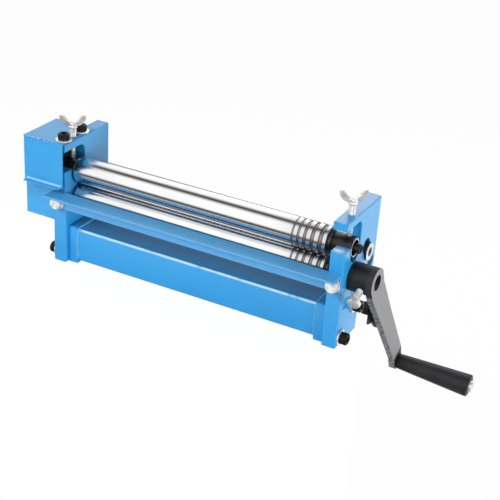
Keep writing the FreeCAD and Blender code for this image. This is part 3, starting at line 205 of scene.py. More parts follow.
def blue_paint():
    """Sprayed enamel with a light orange peel, paler on the edges as a painted highlight."""
    f = Finish("blue_paint")
    clouds = f.noise(14.0, 4.0)
    peel = f.noise(900.0, 2.0)
    specks = f.cells(700.0).between(0.10, 0.03)
    edges = f.edges(0.9 * MM, 2.2)
    colour = f.mix(PAINT, PAINT_DEEP, clouds.between(0.35, 0.75) * 0.30)
    # painted highlight: the edges are mixed towards the paler highlight blue
    colour = f.mix(colour, PAINT_HIGHLIGHT, edges * 0.60)
    colour = f.mix(colour, PAINT_DEEP, specks * 0.25)
    # the beam's top lies in shade, its upper corners catch the light
    shelf = f.z.between(BEAM_TOP - 2.5 * MM, BEAM_TOP) * f.z.between(BEAM_TOP + 2 * MM, BEAM_TOP + 1 * MM)
    shelf = shelf * f.y.math("ABSOLUTE").between(BEAM_HALF - 0.5 * MM, BEAM_HALF - 3 * MM)
    colour = f.mix(colour, shade(0.020, 0.110, 0.250), shelf * 0.65)
    arris = f.y.math("ABSOLUTE").near(BEAM_HALF - 1.2 * MM, 1.8 * MM)
    arris = arris * f.z.near(BEAM_TOP - 1.2 * MM, 1.8 * MM)
    arris = arris * f.x.math("ABSOLUTE").between(RIGHT_INNER + 0.2 * MM, RIGHT_INNER - 0.2 * MM)
    arris = arris * f.noise(45.0, 3.0).between(0.25, 0.55)
    colour = f.mix(colour, shade(0.55, 0.80, 0.97), (arris * 2.0).math("MINIMUM", 1.0) * 0.9)
    # painted light: the parts standing forward of the frames' front face, such as the angle bar, are mixed a fifth
    # of the way to the highlight blue
    forward_light = f.y.between(FRONT_EDGE - 0.2 * MM, FRONT_EDGE - 0.6 * MM)
    colour = f.mix(colour, PAINT_HIGHLIGHT, forward_light * 0.20)
    # bare metal where the upper bush goes in
    lip = (f.x.near(RIGHT_INNER + 8 * MM, 11 * MM) * f.y.near(-20 * MM, 9 * MM)
           * f.z.near(UPPER_AXIS + 3 * MM, 3 * MM))
    worn = (lip * f.noise(160.0, 5.0, (1, 3, 1)).between(0.42, 0.60)).math("MINIMUM", 1.0)
    colour = f.mix(colour, BARE_METAL, worn)
    rough = 0.36 + clouds * 0.10 - edges * 0.05 + shelf * 0.25
    return f.done(Base_Color=colour, Roughness=rough, Metallic=worn * 0.9, Coat_Weight=0.42 - shelf * 0.40,
                  Coat_Roughness=0.14, Normal=f.bump(peel, 0.012 * MM, f.soften(0.45 * MM)))


def blue_sheet():
    """The same enamel on folded sheet, uneven along the folds, paler on the edges as a painted highlight and near
    black inside the covers as painted shade.
    """
    f = Finish("blue_sheet")
    clouds = f.noise(22.0, 4.0)
    peel = f.noise(800.0, 2.0)
    edges = f.edges(0.8 * MM, 2.0)
    colour = f.mix(PAINT, PAINT_DEEP, clouds.between(0.35, 0.75) * 0.28)
    # painted highlight: the edges are mixed towards the paler highlight blue
    colour = f.mix(colour, PAINT_HIGHLIGHT, edges * 0.50)
    grime = edges * f.noise(420.0, 4.0, (1, 1, 1), 0.7).between(0.56, 0.70)
    colour = f.mix(colour, shade(0.02, 0.05, 0.12), grime * 0.7)
    # painted shade: faces that look in towards the middle of the covers are painted near black, rougher and
    # without coat
    outward = f.add("ShaderNodeVectorMath", {"operation": "SUBTRACT"}, {0: f.place, 1: COVERS_MIDDLE})
    facing = f.add("ShaderNodeNewGeometry", out="Normal")
    inside = f.add("ShaderNodeVectorMath", {"operation": "DOT_PRODUCT"}, {0: outward, 1: facing}, out=1)
    inside = inside.between(0.002, -0.002)
    colour = f.mix(colour, shade(0.006, 0.006, 0.007), inside)
    return f.done(Base_Color=colour, Roughness=0.38 + clouds * 0.10 + inside * 0.3,
                  Coat_Weight=0.45 - inside * 0.45, Coat_Roughness=0.18,
                  Normal=f.bump(peel, 0.012 * MM, f.soften(0.5 * MM)))


def weld_paint():
    """Enamel over a rough weld, with soot in the pits."""
    f = Finish("weld_paint")
    lumps = f.noise(600.0, 4.0, (1, 1, 1), 0.65)
    colour = f.mix(shade(0.16, 0.44, 0.78), shade(0.006, 0.010, 0.02), lumps.between(0.55, 0.60) * 0.9)
    colour = f.mix(colour, shade(0.32, 0.58, 0.84), lumps.between(0.48, 0.42) * 0.7)
    return f.done(Base_Color=colour, Roughness=0.45 + lumps * 0.2, Coat_Weight=0.1,
                  Normal=f.bump(lumps, 0.15 * MM))


def enamel_with_painted_highlight(name, share, low=0.30):
    """Enamel with fine ripples, mixed towards the highlight blue by a share as a painted highlight over a weld
    bead or a fold.
    """
    f = Finish(name)
    ripples = f.noise(500.0, 3.0)
    # painted highlight: where the ripples rise above the low mark the colour turns paler
    colour = f.mix(PAINT, PAINT_HIGHLIGHT, ripples.between(low, low + 0.30) * share)
    return f.done(Base_Color=colour, Roughness=0.36 + ripples * 0.12, Coat_Weight=0.40, Coat_Roughness=0.14,
                  Normal=f.bump(ripples, 0.03 * MM))


# painted highlight along the welds between the beam and its end blocks
def bead_paint():
    return enamel_with_painted_highlight("bead_paint", 0.45)


# painted highlight along the hood's fold, pale nearly all over
def fold_paint():
    return enamel_with_painted_highlight("fold_paint", 1.0, 0.10)


def roll_steel():
    """Ground and polished steel: fine rings round the roll, a few smears, and grooves that are rougher and darker.
    """
    f = Finish("roll_steel")
    rings = f.noise(1400.0, 2.0, (1, 0.004, 0.004))
    lathe_marks = f.noise(5200.0, 3.0, (1, 0.004, 0.004))
    smears = f.noise(30.0, 4.0, (0.35, 1.2, 1.2))
    outs = [(f.y * f.y + (f.z - axis) * (f.z - axis)) ** 0.5 for axis in (LOWER_AXIS, UPPER_AXIS)]
    out = outs[0].math("MINIMUM", outs[1])
    groove = out.between(ROLL_RADIUS - 0.12 * MM, ROLL_RADIUS - 0.7 * MM)
    colour = f.mix(shade(0.74, 0.74, 0.74), shade(0.62, 0.62, 0.635), smears.between(0.45, 0.75) * 0.6)
    turned_end = f.x.between(RIGHT_INNER - 80 * MM, RIGHT_INNER - 25 * MM)
    colour = f.mix(colour, shade(0.42, 0.41, 0.40), turned_end * 0.5)
    colour = f.mix(colour, shade(0.16, 0.15, 0.15), groove * 0.8)
    rough = turned_end * 0.07 + 0.12 + rings * 0.05 + smears.between(0.5, 0.8) * 0.08 + groove * 0.15
    return f.done(Base_Color=colour, Metallic=1.0, Roughness=rough, Normal=f.bump(lathe_marks, 0.008 * MM))


def neck_steel():
    """Blackened journals and shaft ends, with fine turning rings."""
    f = Finish("neck_steel")
    rings = f.noise(2600.0, 2.0, (1, 0.02, 0.02))
    oil = f.noise(70.0, 4.0)
    colour = f.mix(shade(0.022, 0.021, 0.021), shade(0.075, 0.068, 0.062), oil.between(0.42, 0.75))
    colour = f.mix(colour, shade(0.20, 0.19, 0.19), f.edges(0.4 * MM, 2.5) * 0.7)
    return f.done(Base_Color=colour, Metallic=0.75, Roughness=0.24 + rings * 0.14,
                  Normal=f.bump(rings, 0.004 * MM, f.soften(0.2 * MM)))


def plain_steel():
    """Turned steel, dark with oil, bright on the end faces."""
    f = Finish("plain_steel")
    rings = f.noise(2600.0, 2.0, (1, 0.02, 0.02))
    oil = f.noise(60.0, 4.0)
    ends = f.facing().math("ABSOLUTE").between(0.45, 0.85)
    colour = f.mix(shade(0.10, 0.10, 0.105), shade(0.20, 0.19, 0.18), oil.between(0.4, 0.7))
    colour = f.mix(colour, shade(0.72, 0.72, 0.73), ends)
    return f.done(Base_Color=colour, Metallic=0.95, Roughness=0.24 + rings * 0.12 + oil * 0.06,
                  Normal=f.bump(rings, 0.004 * MM, f.soften(0.2 * MM)))


def gear_steel():
    """Milled steel with grease on the flanks."""
    f = Finish("gear_steel")
    cutter = f.noise(1500.0, 3.0, (1, 0.2, 0.2))
    grease = f.noise(90.0, 4.0)
    colour = f.mix(shade(0.42, 0.42, 0.43), shade(0.16, 0.12, 0.07), grease.between(0.5, 0.72) * 0.7)
    return f.done(Base_Color=colour, Metallic=0.9, Roughness=0.30 + cutter * 0.15,
                  Normal=f.bump(cutter, 0.01 * MM, f.soften(0.2 * MM)))


def dark_steel():
    """Blackened steel, with a brown painted highlight on its edges."""
    f = Finish("dark_steel")
    grain = f.noise(1400.0, 3.0)
    edges = f.edges(0.2 * MM, 1.6)
    # painted highlight: a brown rim on the edges
    colour = f.mix(shade(0.005, 0.005, 0.0055), shade(0.22, 0.15, 0.11), edges * 0.4)
    return f.done(Base_Color=colour, Metallic=0.2, Roughness=0.20 + grain * 0.12, Specular_IOR_Level=0.22,
                  Normal=f.bump(grain, 0.008 * MM, f.soften(0.15 * MM)))


def zinc_steel():
    """Bright zinc plate, slightly uneven, duller in patches."""
    f = Finish("zinc_steel")
    patches = f.noise(190.0, 4.0)
    grain = f.noise(1800.0, 3.0)
    edges = f.edges(0.3 * MM, 2.0)
    colour = f.mix(shade(0.86, 0.86, 0.85), shade(0.60, 0.61, 0.62), patches.between(0.42, 0.66))
    colour = f.mix(colour, shade(0.96, 0.96, 0.95), edges * 0.7)
    return f.done(Base_Color=colour, Metallic=0.74, Roughness=0.17 + patches * 0.14 + grain * 0.05,
                  Normal=f.bump(patches, 0.03 * MM, f.soften(0.2 * MM)))


def grey_paint():
    """Rough grey paint over plate, with the cut edge's strokes below it."""
    f = Finish("grey_paint")
    grit = f.noise(1500.0, 3.0, (1, 1, 1), 0.7)
    broad = f.noise(40.0, 3.0)
    side = f.facing().math("ABSOLUTE").between(0.6, 0.2)
    strokes = f.noise(700.0, 3.0, (0.15, 1, 1))
    colour = f.mix(shade(0.30, 0.30, 0.31), shade(0.235, 0.235, 0.245), grit.between(0.35, 0.65))
    colour = f.mix(colour, shade(0.21, 0.21, 0.23), side * strokes.between(0.35, 0.60) * 0.8)
    colour = f.mix(colour, shade(0.36, 0.36, 0.37), f.edges(0.6 * MM, 2.0) * 0.5)
    # the arm's sides near the hub are black like the hub; the end of the outer face by the grip is a painted
    # shadow of the grip, near black
    along = f.y * math.sin(CRANK_SWING) - (f.z - LOWER_AXIS) * math.cos(CRANK_SWING)
    tail = along.between(CRANK_REACH - 16.5 * MM, CRANK_REACH - 15.5 * MM)
    black_sides_and_grip_shadow = side * along.between(11 * MM, 7 * MM) + tail * (1.0 - side)
    colour = f.mix(colour, shade(0.014, 0.014, 0.015), black_sides_and_grip_shadow.math("MINIMUM", 1.0))
    pits = side * f.noise(430.0, 5.0, (0.6, 1, 1), 0.75).between(0.50, 0.55)
    colour = f.mix(colour, shade(0.025, 0.025, 0.028), pits * 0.85)
    height = grit * 0.5 + side * strokes - pits * 0.5
    return f.done(Base_Color=colour, Roughness=0.52 + broad * 0.12,
                  Normal=f.bump(height, 0.05 * MM, f.soften(0.3 * MM)))


def black_paint():
    """Satin black paint with a fine mist of dust."""
    f = Finish("black_paint")
    dust = f.noise(500.0, 4.0)
    peel = f.noise(1100.0, 2.0)
    colour = f.mix(shade(0.009, 0.009, 0.010), shade(0.024, 0.024, 0.027), dust.between(0.5, 0.75))
    colour = f.mix(colour, shade(0.09, 0.09, 0.095), f.edges(0.5 * MM, 2.0) * 0.4)
    return f.done(Base_Color=colour, Roughness=0.34 + dust * 0.12, Specular_IOR_Level=0.30,
                  Normal=f.bump(peel, 0.02 * MM, f.soften(0.4 * MM)))


def black_plastic():
    """Moulded black plastic with a fine spark texture."""
    f = Finish("black_plastic")
    spark = f.noise(2600.0, 2.0)
    flow = f.noise(35.0, 3.0)
    colour = f.mix(shade(0.010, 0.010, 0.011), shade(0.020, 0.020, 0.023), flow.between(0.35, 0.7))
    return f.done(Base_Color=colour, Roughness=0.40 + flow * 0.10 + spark * 0.05, Specular_IOR_Level=0.32,
                  Normal=f.bump(spark, 0.012 * MM))


def bush_steel():
    """Blackened outside, with a bright turned ring on the end face."""
    f = Finish("bush_steel")
    rings = f.noise(2600.0, 2.0, (1, 0.02, 0.02))
    out = (f.y * f.y + (f.z - UPPER_AXIS) * (f.z - UPPER_AXIS)) ** 0.5
    ring = f.facing().between(0.6, 0.9) * out.near(9.5 * MM, 1.3 * MM)
    colour = f.mix(shade(0.035, 0.032, 0.030), shade(0.75, 0.75, 0.76), ring)
    return f.done(Base_Color=colour, Metallic=0.9, Roughness=0.26 + rings * 0.12,
                  Normal=f.bump(rings, 0.004 * MM, f.soften(0.2 * MM)))


FINISHES = {make.__name__: make() for make in (
    blue_paint, blue_sheet, weld_paint, bead_paint, fold_paint, roll_steel, neck_steel, plain_steel,
    gear_steel, bush_steel, dark_steel, zinc_steel, grey_paint, black_paint, black_plastic)}
BODY_OF = {node: body for body, members in frame["record"]["behaviour"]["bodies"].items() for node in members}
SLOT_OF = {part["node"]: part["material_slot"] for part in frame["record"]["subparts"]}

for node, thing in frame["nodes"].items():
    thing.data.materials.clear()
    thing.data.materials.append(FINISHES[SLOT_OF[node]])


# ---------------------------------------------------------------- making pieces
def shown(name, mesh):
    piece = bpy.data.objects.new(name, mesh)
    bpy.context.scene.collection.objects.link(piece)
    return piece


def settle(piece, node, finish=None, stands_for=True):
    """Gives a piece its finish and its body, and hides the CAD piece it stands for."""
    slot = SLOT_OF[node]
    piece.data.materials.clear()
    piece.data.materials.append(FINISHES[finish or slot])
    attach(piece, BODY_OF[node])
    if stands_for:
        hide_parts(node)
    return piece


def smooth(mesh, angle=32):
    mesh.polygons.foreach_set("use_smooth", [True] * len(mesh.polygons))
    mesh.set_sharp_from_angle(angle=math.radians(angle))


def baked(piece):
    """Turns a piece with modifiers into a plain mesh."""
    bpy.context.view_layer.update()
    seen = piece.evaluated_get(bpy.context.evaluated_depsgraph_get())
    mesh = bpy.data.meshes.new_from_object(seen)
    piece.modifiers.clear()
    piece.data = mesh
    return piece


def softened(node, edge=0.0, finish=None):
    """A copy of a CAD piece with smooth round faces and, if asked, rounded edges."""
    mesh = frame["nodes"][node].data.copy()
    shape = bmesh.new()
    shape.from_mesh(mesh)
    bmesh.ops.remove_doubles(shape, verts=shape.verts, dist=2e-6)
    bmesh.ops.dissolve_limit(shape, angle_limit=math.radians(0.4), verts=shape.verts, edges=shape.edges)
    shape.to_mesh(mesh)
    shape.free()
    piece = shown(node + "_finished", mesh)
    if edge:
        rounding = piece.modifiers.new("rounding", "BEVEL")
        rounding.width = edge
        rounding.segments = 2
        rounding.limit_method = "ANGLE"
        rounding.angle_limit = math.radians(40)
        rounding.use_clamp_overlap = False
        baked(piece)
    smooth(piece.data)
    return settle(piece, node, finish)


def aimed(origin, direction, side=None):
    """A frame with its X along a direction and its Y along a side square to it."""
    along = Vector(direction).normalized()
    side = Vector(side) if side else along.orthogonal()
    side = (side - along * side.dot(along)).normalized()
    turn = Matrix((along, side, along.cross(side))).transposed()
    return Matrix.Translation(Vector(origin)) @ turn.to_4x4()


def turned(stations, steps=96, through=False):
    """A shape round its own X axis; a station is (along, radius), the radius a number or a function."""
    shape = bmesh.new()
    rings = []
    for along, radius in stations:
        if radius == 0:
            rings.append([shape.verts.new((along, 0, 0))])
            continue
        ring = []
        for step in range(steps):
            angle = FULL * step / steps
            reach = radius(angle) if callable(radius) else radius
            ring.append(shape.verts.new((along, reach * math.cos(angle), reach * math.sin(angle))))
        rings.append(ring)
    if through:
        rings.append(rings[0])
    for ring, after in zip(rings, rings[1:]):
        join(shape, ring, after, steps)
    if not through:
        for end in (rings[0], rings[-1]):
            if len(end) > 1:
                shape.faces.new(end)
    bmesh.ops.recalc_face_normals(shape, faces=shape.faces)
    return shape


def join(shape, ring, after, steps):
    """Faces between two rings, either of which may be a single point."""
    for step in range(steps):
        near = (step + 1) % steps
        if len(ring) == 1:
            shape.faces.new((ring[0], after[step], after[near]))
        elif len(after) == 1:
            shape.faces.new((ring[step], after[0], ring[near]))
        else:
            shape.faces.new((ring[step], after[step], after[near], ring[near]))


def finished(shape, name, where=None, angle=32):
    """Turns a bmesh into an object with its place in its mesh."""
    mesh = bpy.data.meshes.new(name)
    shape.to_mesh(mesh)
    shape.free()
    if where is not None:
        mesh.transform(where)
    smooth(mesh, angle)
    return shown(name, mesh)


def added(shape, other, where=None):
    """Adds one bmesh to another."""
    mesh = bpy.data.meshes.new("part")
    other.to_mesh(mesh)
    other.free()
    if where is not None:
        mesh.transform(where)
    shape.from_mesh(mesh)
    bpy.data.meshes.remove(mesh)
    return shape


def less(radius, amount):
    """A radius made smaller, whether it is a number or a function."""
    if callable(radius):
        return lambda angle: radius(angle) - amount
    return radius - amount


def hexagon(flats):
    """The radius of a hexagon round the circle."""
    sixth = FULL / 6
    return lambda angle: flats / 2 / math.cos(angle % sixth - sixth / 2)


def trimmed(outline, radius):
    return lambda angle: min(outline(angle), radius)


def rounded(radius, corner, start, way=1, steps=4):
    """Stations of a quarter round from a face at start to a cylinder, way +1 or -1 along X."""
    spots = []
    for step in range(steps + 1):
        angle = FULL / 4 * step / steps
        inset = less(radius, corner * (1 - math.sin(angle)))
        spots.append((start + way * corner * (1 - math.cos(angle)), inset))
    return spots if way > 0 else spots[::-1]


def threaded(radius, pitch, start, end, steps=32):
    """A screw thread between two places, as a closed shape."""
    depth = 0.6 * pitch
    rows = max(4, int((end - start) / pitch * 5))
    stations = []
    for row in range(rows + 1):
        along = start + (end - start) * row / rows
        stations.append((along, crest(radius, depth, pitch, along, start, end)))
    return turned(stations, steps)


def crest(radius, depth, pitch, along, start, end):
    """The thread's outline at one place, running out at its ends."""
    full = max(0.0, min(1.0, (along - start) / pitch, (end - along) / pitch))

    def reach(angle):
        turn = (along / pitch - angle / FULL) % 1.0
        return radius - depth * (1 - full) - depth * full * abs(2 * turn - 1)
    return reach


# ---------------------------------------------------------------- rolls
GROOVES = 5
GROOVE_INSET = 37.4 * MM
GROOVE_PITCH = 6.6 * MM
GROOVE_PITCH_GAIN = 0.8 * MM
GROOVE_WIDTH = 2.4 * MM
GROOVE_WIDTH_GAIN = 0.6 * MM
ROLL_LEFT_GAP = 3 * MM
ROLL_RIGHT_GAP = 11 * MM
ROLL_EDGE = 1.2 * MM
NECK_RADIUS = 8.5 * MM
NECK_BARE = 6.5 * MM
SEAT_RADIUS = 7 * MM
STUB_RADIUS = 5 * MM
STUB_SHOULDER = 5.5 * MM
CENTRE_RADIUS = 2.6 * MM
CENTRE_DEPTH = 6 * MM
SMALL_EDGE = 0.6 * MM


def wire_grooves(right_end):
    """Round-bottomed grooves, each wider and further on than the one before."""
    spots = []
    for index in range(GROOVES):
        run = GROOVE_PITCH * index + GROOVE_PITCH_GAIN * index * (index - 1) / 2
        middle = right_end - GROOVE_INSET + run
        half = (GROOVE_WIDTH + GROOVE_WIDTH_GAIN * index) / 2
        for step in range(9):
            angle = math.pi * step / 8
            spots.append((middle - half * math.cos(angle), ROLL_RADIUS - half * 0.9 * math.sin(angle)))
    return spots


def centre_hole(end):
    flare = 1.2 * MM
    return [(end, CENTRE_RADIUS + flare), (end - flare, CENTRE_RADIUS), (end - CENTRE_DEPTH, CENTRE_RADIUS),
            (end - CENTRE_DEPTH - flare, 0)]


def front_roll(node, axis, right_neck):
    """A roll with its gear seat at the left and wire grooves at the right."""
    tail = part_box(node)[0].x
    gear_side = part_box("upper_gear")[1].x
    left, right = LEFT_INNER + ROLL_LEFT_GAP, RIGHT_INNER - ROLL_RIGHT_GAP
    stations = [(tail, 0)] + rounded(SEAT_RADIUS, SMALL_EDGE, tail, 1, 2)
    stations += [(gear_side, SEAT_RADIUS), (gear_side, NECK_RADIUS), (left, NECK_RADIUS)]
    stations += rounded(ROLL_RADIUS, ROLL_EDGE, left) + wire_grooves(right)
    stations += rounded(ROLL_RADIUS, ROLL_EDGE, right, -1) + [(right, NECK_RADIUS)]
    stations += [(right + NECK_BARE, NECK_RADIUS)] + right_neck
    piece = finished(turned(stations, 128), node + "_polished", Matrix.Translation((0, 0, axis)), 40)
    settle(piece, node)
    blacken_necks(piece, (0, axis), left, right + NECK_BARE)


def rolls():
    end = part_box("upper_roll")[1].x
    shoulder = RIGHT_OUTER - STUB_SHOULDER
    stub = [(shoulder, NECK_RADIUS), (shoulder, STUB_RADIUS)]
    front_roll("upper_roll", UPPER_AXIS,
               stub + rounded(STUB_RADIUS, SMALL_EDGE, end, -1, 2) + centre_hole(end))
    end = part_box("lower_roll")[1].x
    front_roll("lower_roll", LOWER_AXIS, rounded(NECK_RADIUS, SMALL_EDGE, end, -1, 2) + centre_hole(end))

    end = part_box("rear_roll")[1].x
    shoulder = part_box("right_slide_block")[0].x - 0.3 * MM
    stations = [(-end, 0), (-end, STUB_RADIUS), (-shoulder, STUB_RADIUS)]
    stations += rounded(ROLL_RADIUS, ROLL_EDGE, -shoulder) + rounded(ROLL_RADIUS, ROLL_EDGE, shoulder, -1)
    stations += [(shoulder, STUB_RADIUS), (end, STUB_RADIUS), (end, 0)]
    piece = finished(turned(stations, 128), "rear_roll_polished", Matrix.Translation(REAR_AXIS), 40)
    settle(piece, "rear_roll")
    blacken_necks(piece, (REAR_AXIS.y, REAR_AXIS.z), -shoulder, shoulder)


def blacken_necks(piece, axis, left, right):
    """Everything outside the polished face gets the journals' finish."""
    piece.data.materials.append(FINISHES["neck_steel"])
    for face in piece.data.polygons:
        spot = face.center
        out = math.hypot(spot.y - axis[0], spot.z - axis[1])
        if not left < spot.x < right and out < ROLL_RADIUS - 4 * MM:
            face.material_index = 1


# ---------------------------------------------------------------- plates, beam, covers and crank
EDGES = {
    "left_frame": 0.0, "right_frame": 0.0, "base_tube": 0.0, "left_base_block": 0.8, "right_base_block": 0.8,
    "front_angle_bar": 0.0, "gear_hood": 0.0, "gear_guard": 0.0, "crank_hub": 0.0, "crank_arm": 0.0,
    "upper_bush_right": 0.0, "lower_bush_right": 0.0, "right_slide_block": 0.0, "left_slide_block": 0.0,
    "rear_end_washers": 0.3, "rear_end_screws": 0.0, "angle_bar_washers": 0.3, "base_washers": 0.3,
    "hood_washers": 0.3, "guard_screws": 0.3, "grip_screw": 0.4,
}


def plates():
    for node, edge in EDGES.items():
        softened(node, edge * MM, {"upper_bush_right": "bush_steel"}.get(node))


# ---------------------------------------------------------------- screws set by Geometry Nodes
class Growth(Tree):
    """A Geometry Nodes tree with named inputs, ending in plain geometry with one finish."""

    def __init__(self, name, **inputs):
        group = bpy.data.node_groups.new(name, "GeometryNodeTree")
        super().__init__(group)
        self.identifiers = {}
        group.interface.new_socket("Geometry", in_out="INPUT", socket_type="NodeSocketGeometry")
        for label, kind in inputs.items():
            socket = group.interface.new_socket(label, in_out="INPUT", socket_type="NodeSocket" + kind)
            self.identifiers[label] = socket.identifier
        group.interface.new_socket("Geometry", in_out="OUTPUT", socket_type="NodeSocketGeometry")
        entry = group.nodes.new("NodeGroupInput")
        self.given = {socket.name: Wire(self, socket) for socket in entry.outputs if socket.name}

    def end(self, instances):
        real = self.add("GeometryNodeRealizeInstances", sockets={0: instances})
        dressed = self.add("GeometryNodeSetMaterial",
                           sockets={"Geometry": real, "Material": self.given["Finish"]})
        self.add("NodeGroupOutput", sockets={0: dressed})
        return self


def planting():
    """Sets a template on points that carry their own turn."""
    tree = Growth("planting", Template="Object", Size="Float", Finish="Material")
    template = tree.add("GeometryNodeObjectInfo", {"transform_space": "ORIGINAL"},
                        {"Object": tree.given["Template"]}, out=4)
    turn = tree.add("GeometryNodeInputNamedAttribute", {"data_type": "FLOAT_VECTOR"}, {"Name": "turn"})
    turn = tree.add("FunctionNodeEulerToRotation", sockets={0: turn})
    return tree.end(tree.add("GeometryNodeInstanceOnPoints",
                             sockets={"Points": tree.given["Geometry"], "Instance": template,
                                      "Rotation": turn, "Scale": tree.given["Size"]}))


def welding():
    """Lays overlapping drops of weld along a path."""
    tree = Growth("welding", Spacing="Float", Drop="Float", Seed="Int", Finish="Material")
    path = tree.add("GeometryNodeMeshToCurve", sockets={"Mesh": tree.given["Geometry"]})
    path = tree.add("GeometryNodeResampleCurve", {"mode": "LENGTH"},
                    {"Curve": path, "Length": tree.given["Spacing"]})
    drop = tree.add("GeometryNodeMeshIcoSphere", sockets={"Radius": tree.given["Drop"], "Subdivisions": 2})
    size = tree.add("FunctionNodeRandomValue", {"data_type": "FLOAT_VECTOR"},
                    {0: (0.7, 0.75, 0.6), 1: (1.25, 1.2, 1.2), "Seed": tree.given["Seed"]})
    return tree.end(tree.add("GeometryNodeInstanceOnPoints",
                             sockets={"Points": path, "Instance": drop, "Scale": size}))


PLANTING = planting()
WELDING = welding()


def grown(name, mesh, tree, **values):
    """The plain mesh that a tree makes from a mesh."""
    piece = shown(name, mesh)
    growth = piece.modifiers.new("growth", "NODES")
    growth.node_group = tree.nodes
    for label, content in values.items():
        growth[tree.identifiers[label]] = content
    return baked(piece)


def planted(name, template, places, node):
    """One piece with the template's shape at every place."""
    stock = finished(template, name + "_stock")
    mesh = bpy.data.meshes.new(name + "_places")
    mesh.from_pydata([place.translation for place in places], [], [])
    turn = mesh.attributes.new("turn", "FLOAT_VECTOR", "POINT")
    for value, place in zip(turn.data, places):
        value.vector = place.to_euler()
    piece = grown(name, mesh, PLANTING, Template=stock, Size=1.0, Finish=FINISHES[SLOT_OF[node]])
    bpy.data.objects.remove(stock)
    smooth(piece.data)
    return settle(piece, node)


def welded(name, path, node, spacing, drop, finish, seed):
    """A run of weld on a piece's edge."""
    mesh = bpy.data.meshes.new(name + "_path")
    mesh.from_pydata(path, [(index, index + 1) for index in range(len(path) - 1)], [])
    piece = grown(name, mesh, WELDING, Spacing=spacing, Drop=drop, Seed=seed, Finish=FINISHES[finish])
    melt = piece.modifiers.new("melt", "REMESH")
    melt.mode = "VOXEL"
    melt.voxel_size = drop / 3
    flow = piece.modifiers.new("flow", "SMOOTH")
    flow.iterations = 2
    baked(piece)
    smooth(piece.data, 60)
    return settle(piece, node, finish, stands_for=False)


THREAD_RADIUS = 4 * MM
WASHER = 1.6 * MM
CAP_RADIUS = 6.5 * MM
CAP_HEIGHT = 8 * MM
HOOD_CAP_HEIGHT = 6.4 * MM
CAP_SOCKET = 6 * MM
HEX_HEIGHT = 5.3 * MM
HEX_FLATS = 13 * MM
HEX_CROWN = 1.1 * MM
THREAD_PITCH = 1.25 * MM
BASE_SCREWS = ((-16 * MM, 6.5 * MM), (13.5 * MM, 31.5 * MM))
HOOD_SCREWS = (-17 * MM, 15.5 * MM)
BASE_SHANK = 24 * MM
HOOD_SHANK = 9 * MM
BAR_SHANK = 19 * MM


def knurled(radius, ridges=36):
    return lambda angle: radius - 0.10 * MM * (1 + math.cos(ridges * angle))


def cap_screw(height, shank):
    """A socket head screw with its head's seat at 0 and its head along X."""
    depth = 4 * MM
    stations = [(-shank, 0), (-shank, THREAD_RADIUS - 0.1 * MM), (0, THREAD_RADIUS - 0.1 * MM),
                (0, CAP_RADIUS - 0.4 * MM), (0.4 * MM, CAP_RADIUS), (0.5 * MM, knurled(CAP_RADIUS)),
                (height - 0.9 * MM, knurled(CAP_RADIUS)), (height - 0.6 * MM, CAP_RADIUS - 0.3 * MM),
                (height - 0.2 * MM, CAP_RADIUS - 0.6 * MM), (height, CAP_RADIUS - 0.95 * MM),
                (height, CAP_SOCKET / 2 + 0.75 * MM), (height - 0.6 * MM, hexagon(CAP_SOCKET)),
                (height - depth, hexagon(CAP_SOCKET)), (height - depth - 0.8 * MM, 0)]
    return turned(stations, 144)


def hexagon_bolt(shank):
    """A hexagon bolt with its head's seat at 0, its head along X and a thread behind it."""
    hexed = hexagon(HEX_FLATS)
    top = HEX_HEIGHT
    stations = [(-0.5 * MM, 0), (-0.5 * MM, THREAD_RADIUS), (0, THREAD_RADIUS), (0, HEX_FLATS * 0.46),
                (0.3 * MM, HEX_FLATS * 0.46), (0.3 * MM, trimmed(hexed, HEX_FLATS * 0.56)), (0.6 * MM, hexed),
                (top - HEX_CROWN, hexed)]
    for step in range(1, 5):
        share = step / 4
        crown = trimmed(hexed, HEX_FLATS * (0.578 - 0.098 * share ** 1.3))
        stations.append((top - HEX_CROWN * (1 - share), crown))
    stations += [(top, HEX_FLATS * 0.30), (top + 0.001 * MM, 0)]
    return added(turned(stations, 96), threaded(THREAD_RADIUS, THREAD_PITCH, -shank, -0.2 * MM))


def screws():
    places = []
    for outer, way in ((RIGHT_OUTER, 1), (LEFT_OUTER, -1)):
        for across, up in BASE_SCREWS:
            places.append(aimed((outer + way * WASHER, across, up), (way, 0, 0), (0, 1, 0)))
    planted("base_screws_knurled", cap_screw(CAP_HEIGHT, BASE_SHANK), places, "base_screws")

    middle = (LEFT_OUTER + LEFT_INNER) / 2
    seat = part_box("hood_washers")[1].z
    places = [aimed((middle, across, seat), UP, (1, 0.4, 0)) for across in HOOD_SCREWS]
    planted("hood_screws_knurled", cap_screw(HOOD_CAP_HEIGHT, HOOD_SHANK), places, "hood_screws")

    low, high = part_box("angle_bar_washers")
    level = (low.z + high.z) / 2
    middles = (middle, -middle)
    places = [aimed((across, low.y, level), (0, -1, 0), (1, 0, spin))
              for across, spin in zip(middles, (0.2, 0.45))]
    planted("bar_bolts_threaded", hexagon_bolt(BAR_SHANK), places, "angle_bar_bolts")


SET_BOLT_INSET = 5.8 * MM
SET_BOLT_REACH = 28 * MM
SET_BOLT_SHANK = 19.3 * MM


def set_bolt():
    """The crank's bolt, screwed into the hub square to the arm."""
    direction = Vector((0, -math.cos(CRANK_SWING), -math.sin(CRANK_SWING)))
    middle = Vector((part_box("crank_hub")[1].x - SET_BOLT_INSET, 0, LOWER_AXIS))
    place = aimed(middle + direction * SET_BOLT_REACH, direction, (1, 0.35, 0))
    settle(finished(hexagon_bolt(SET_BOLT_SHANK), "crank_set_bolt_threaded", place), "crank_set_bolt")


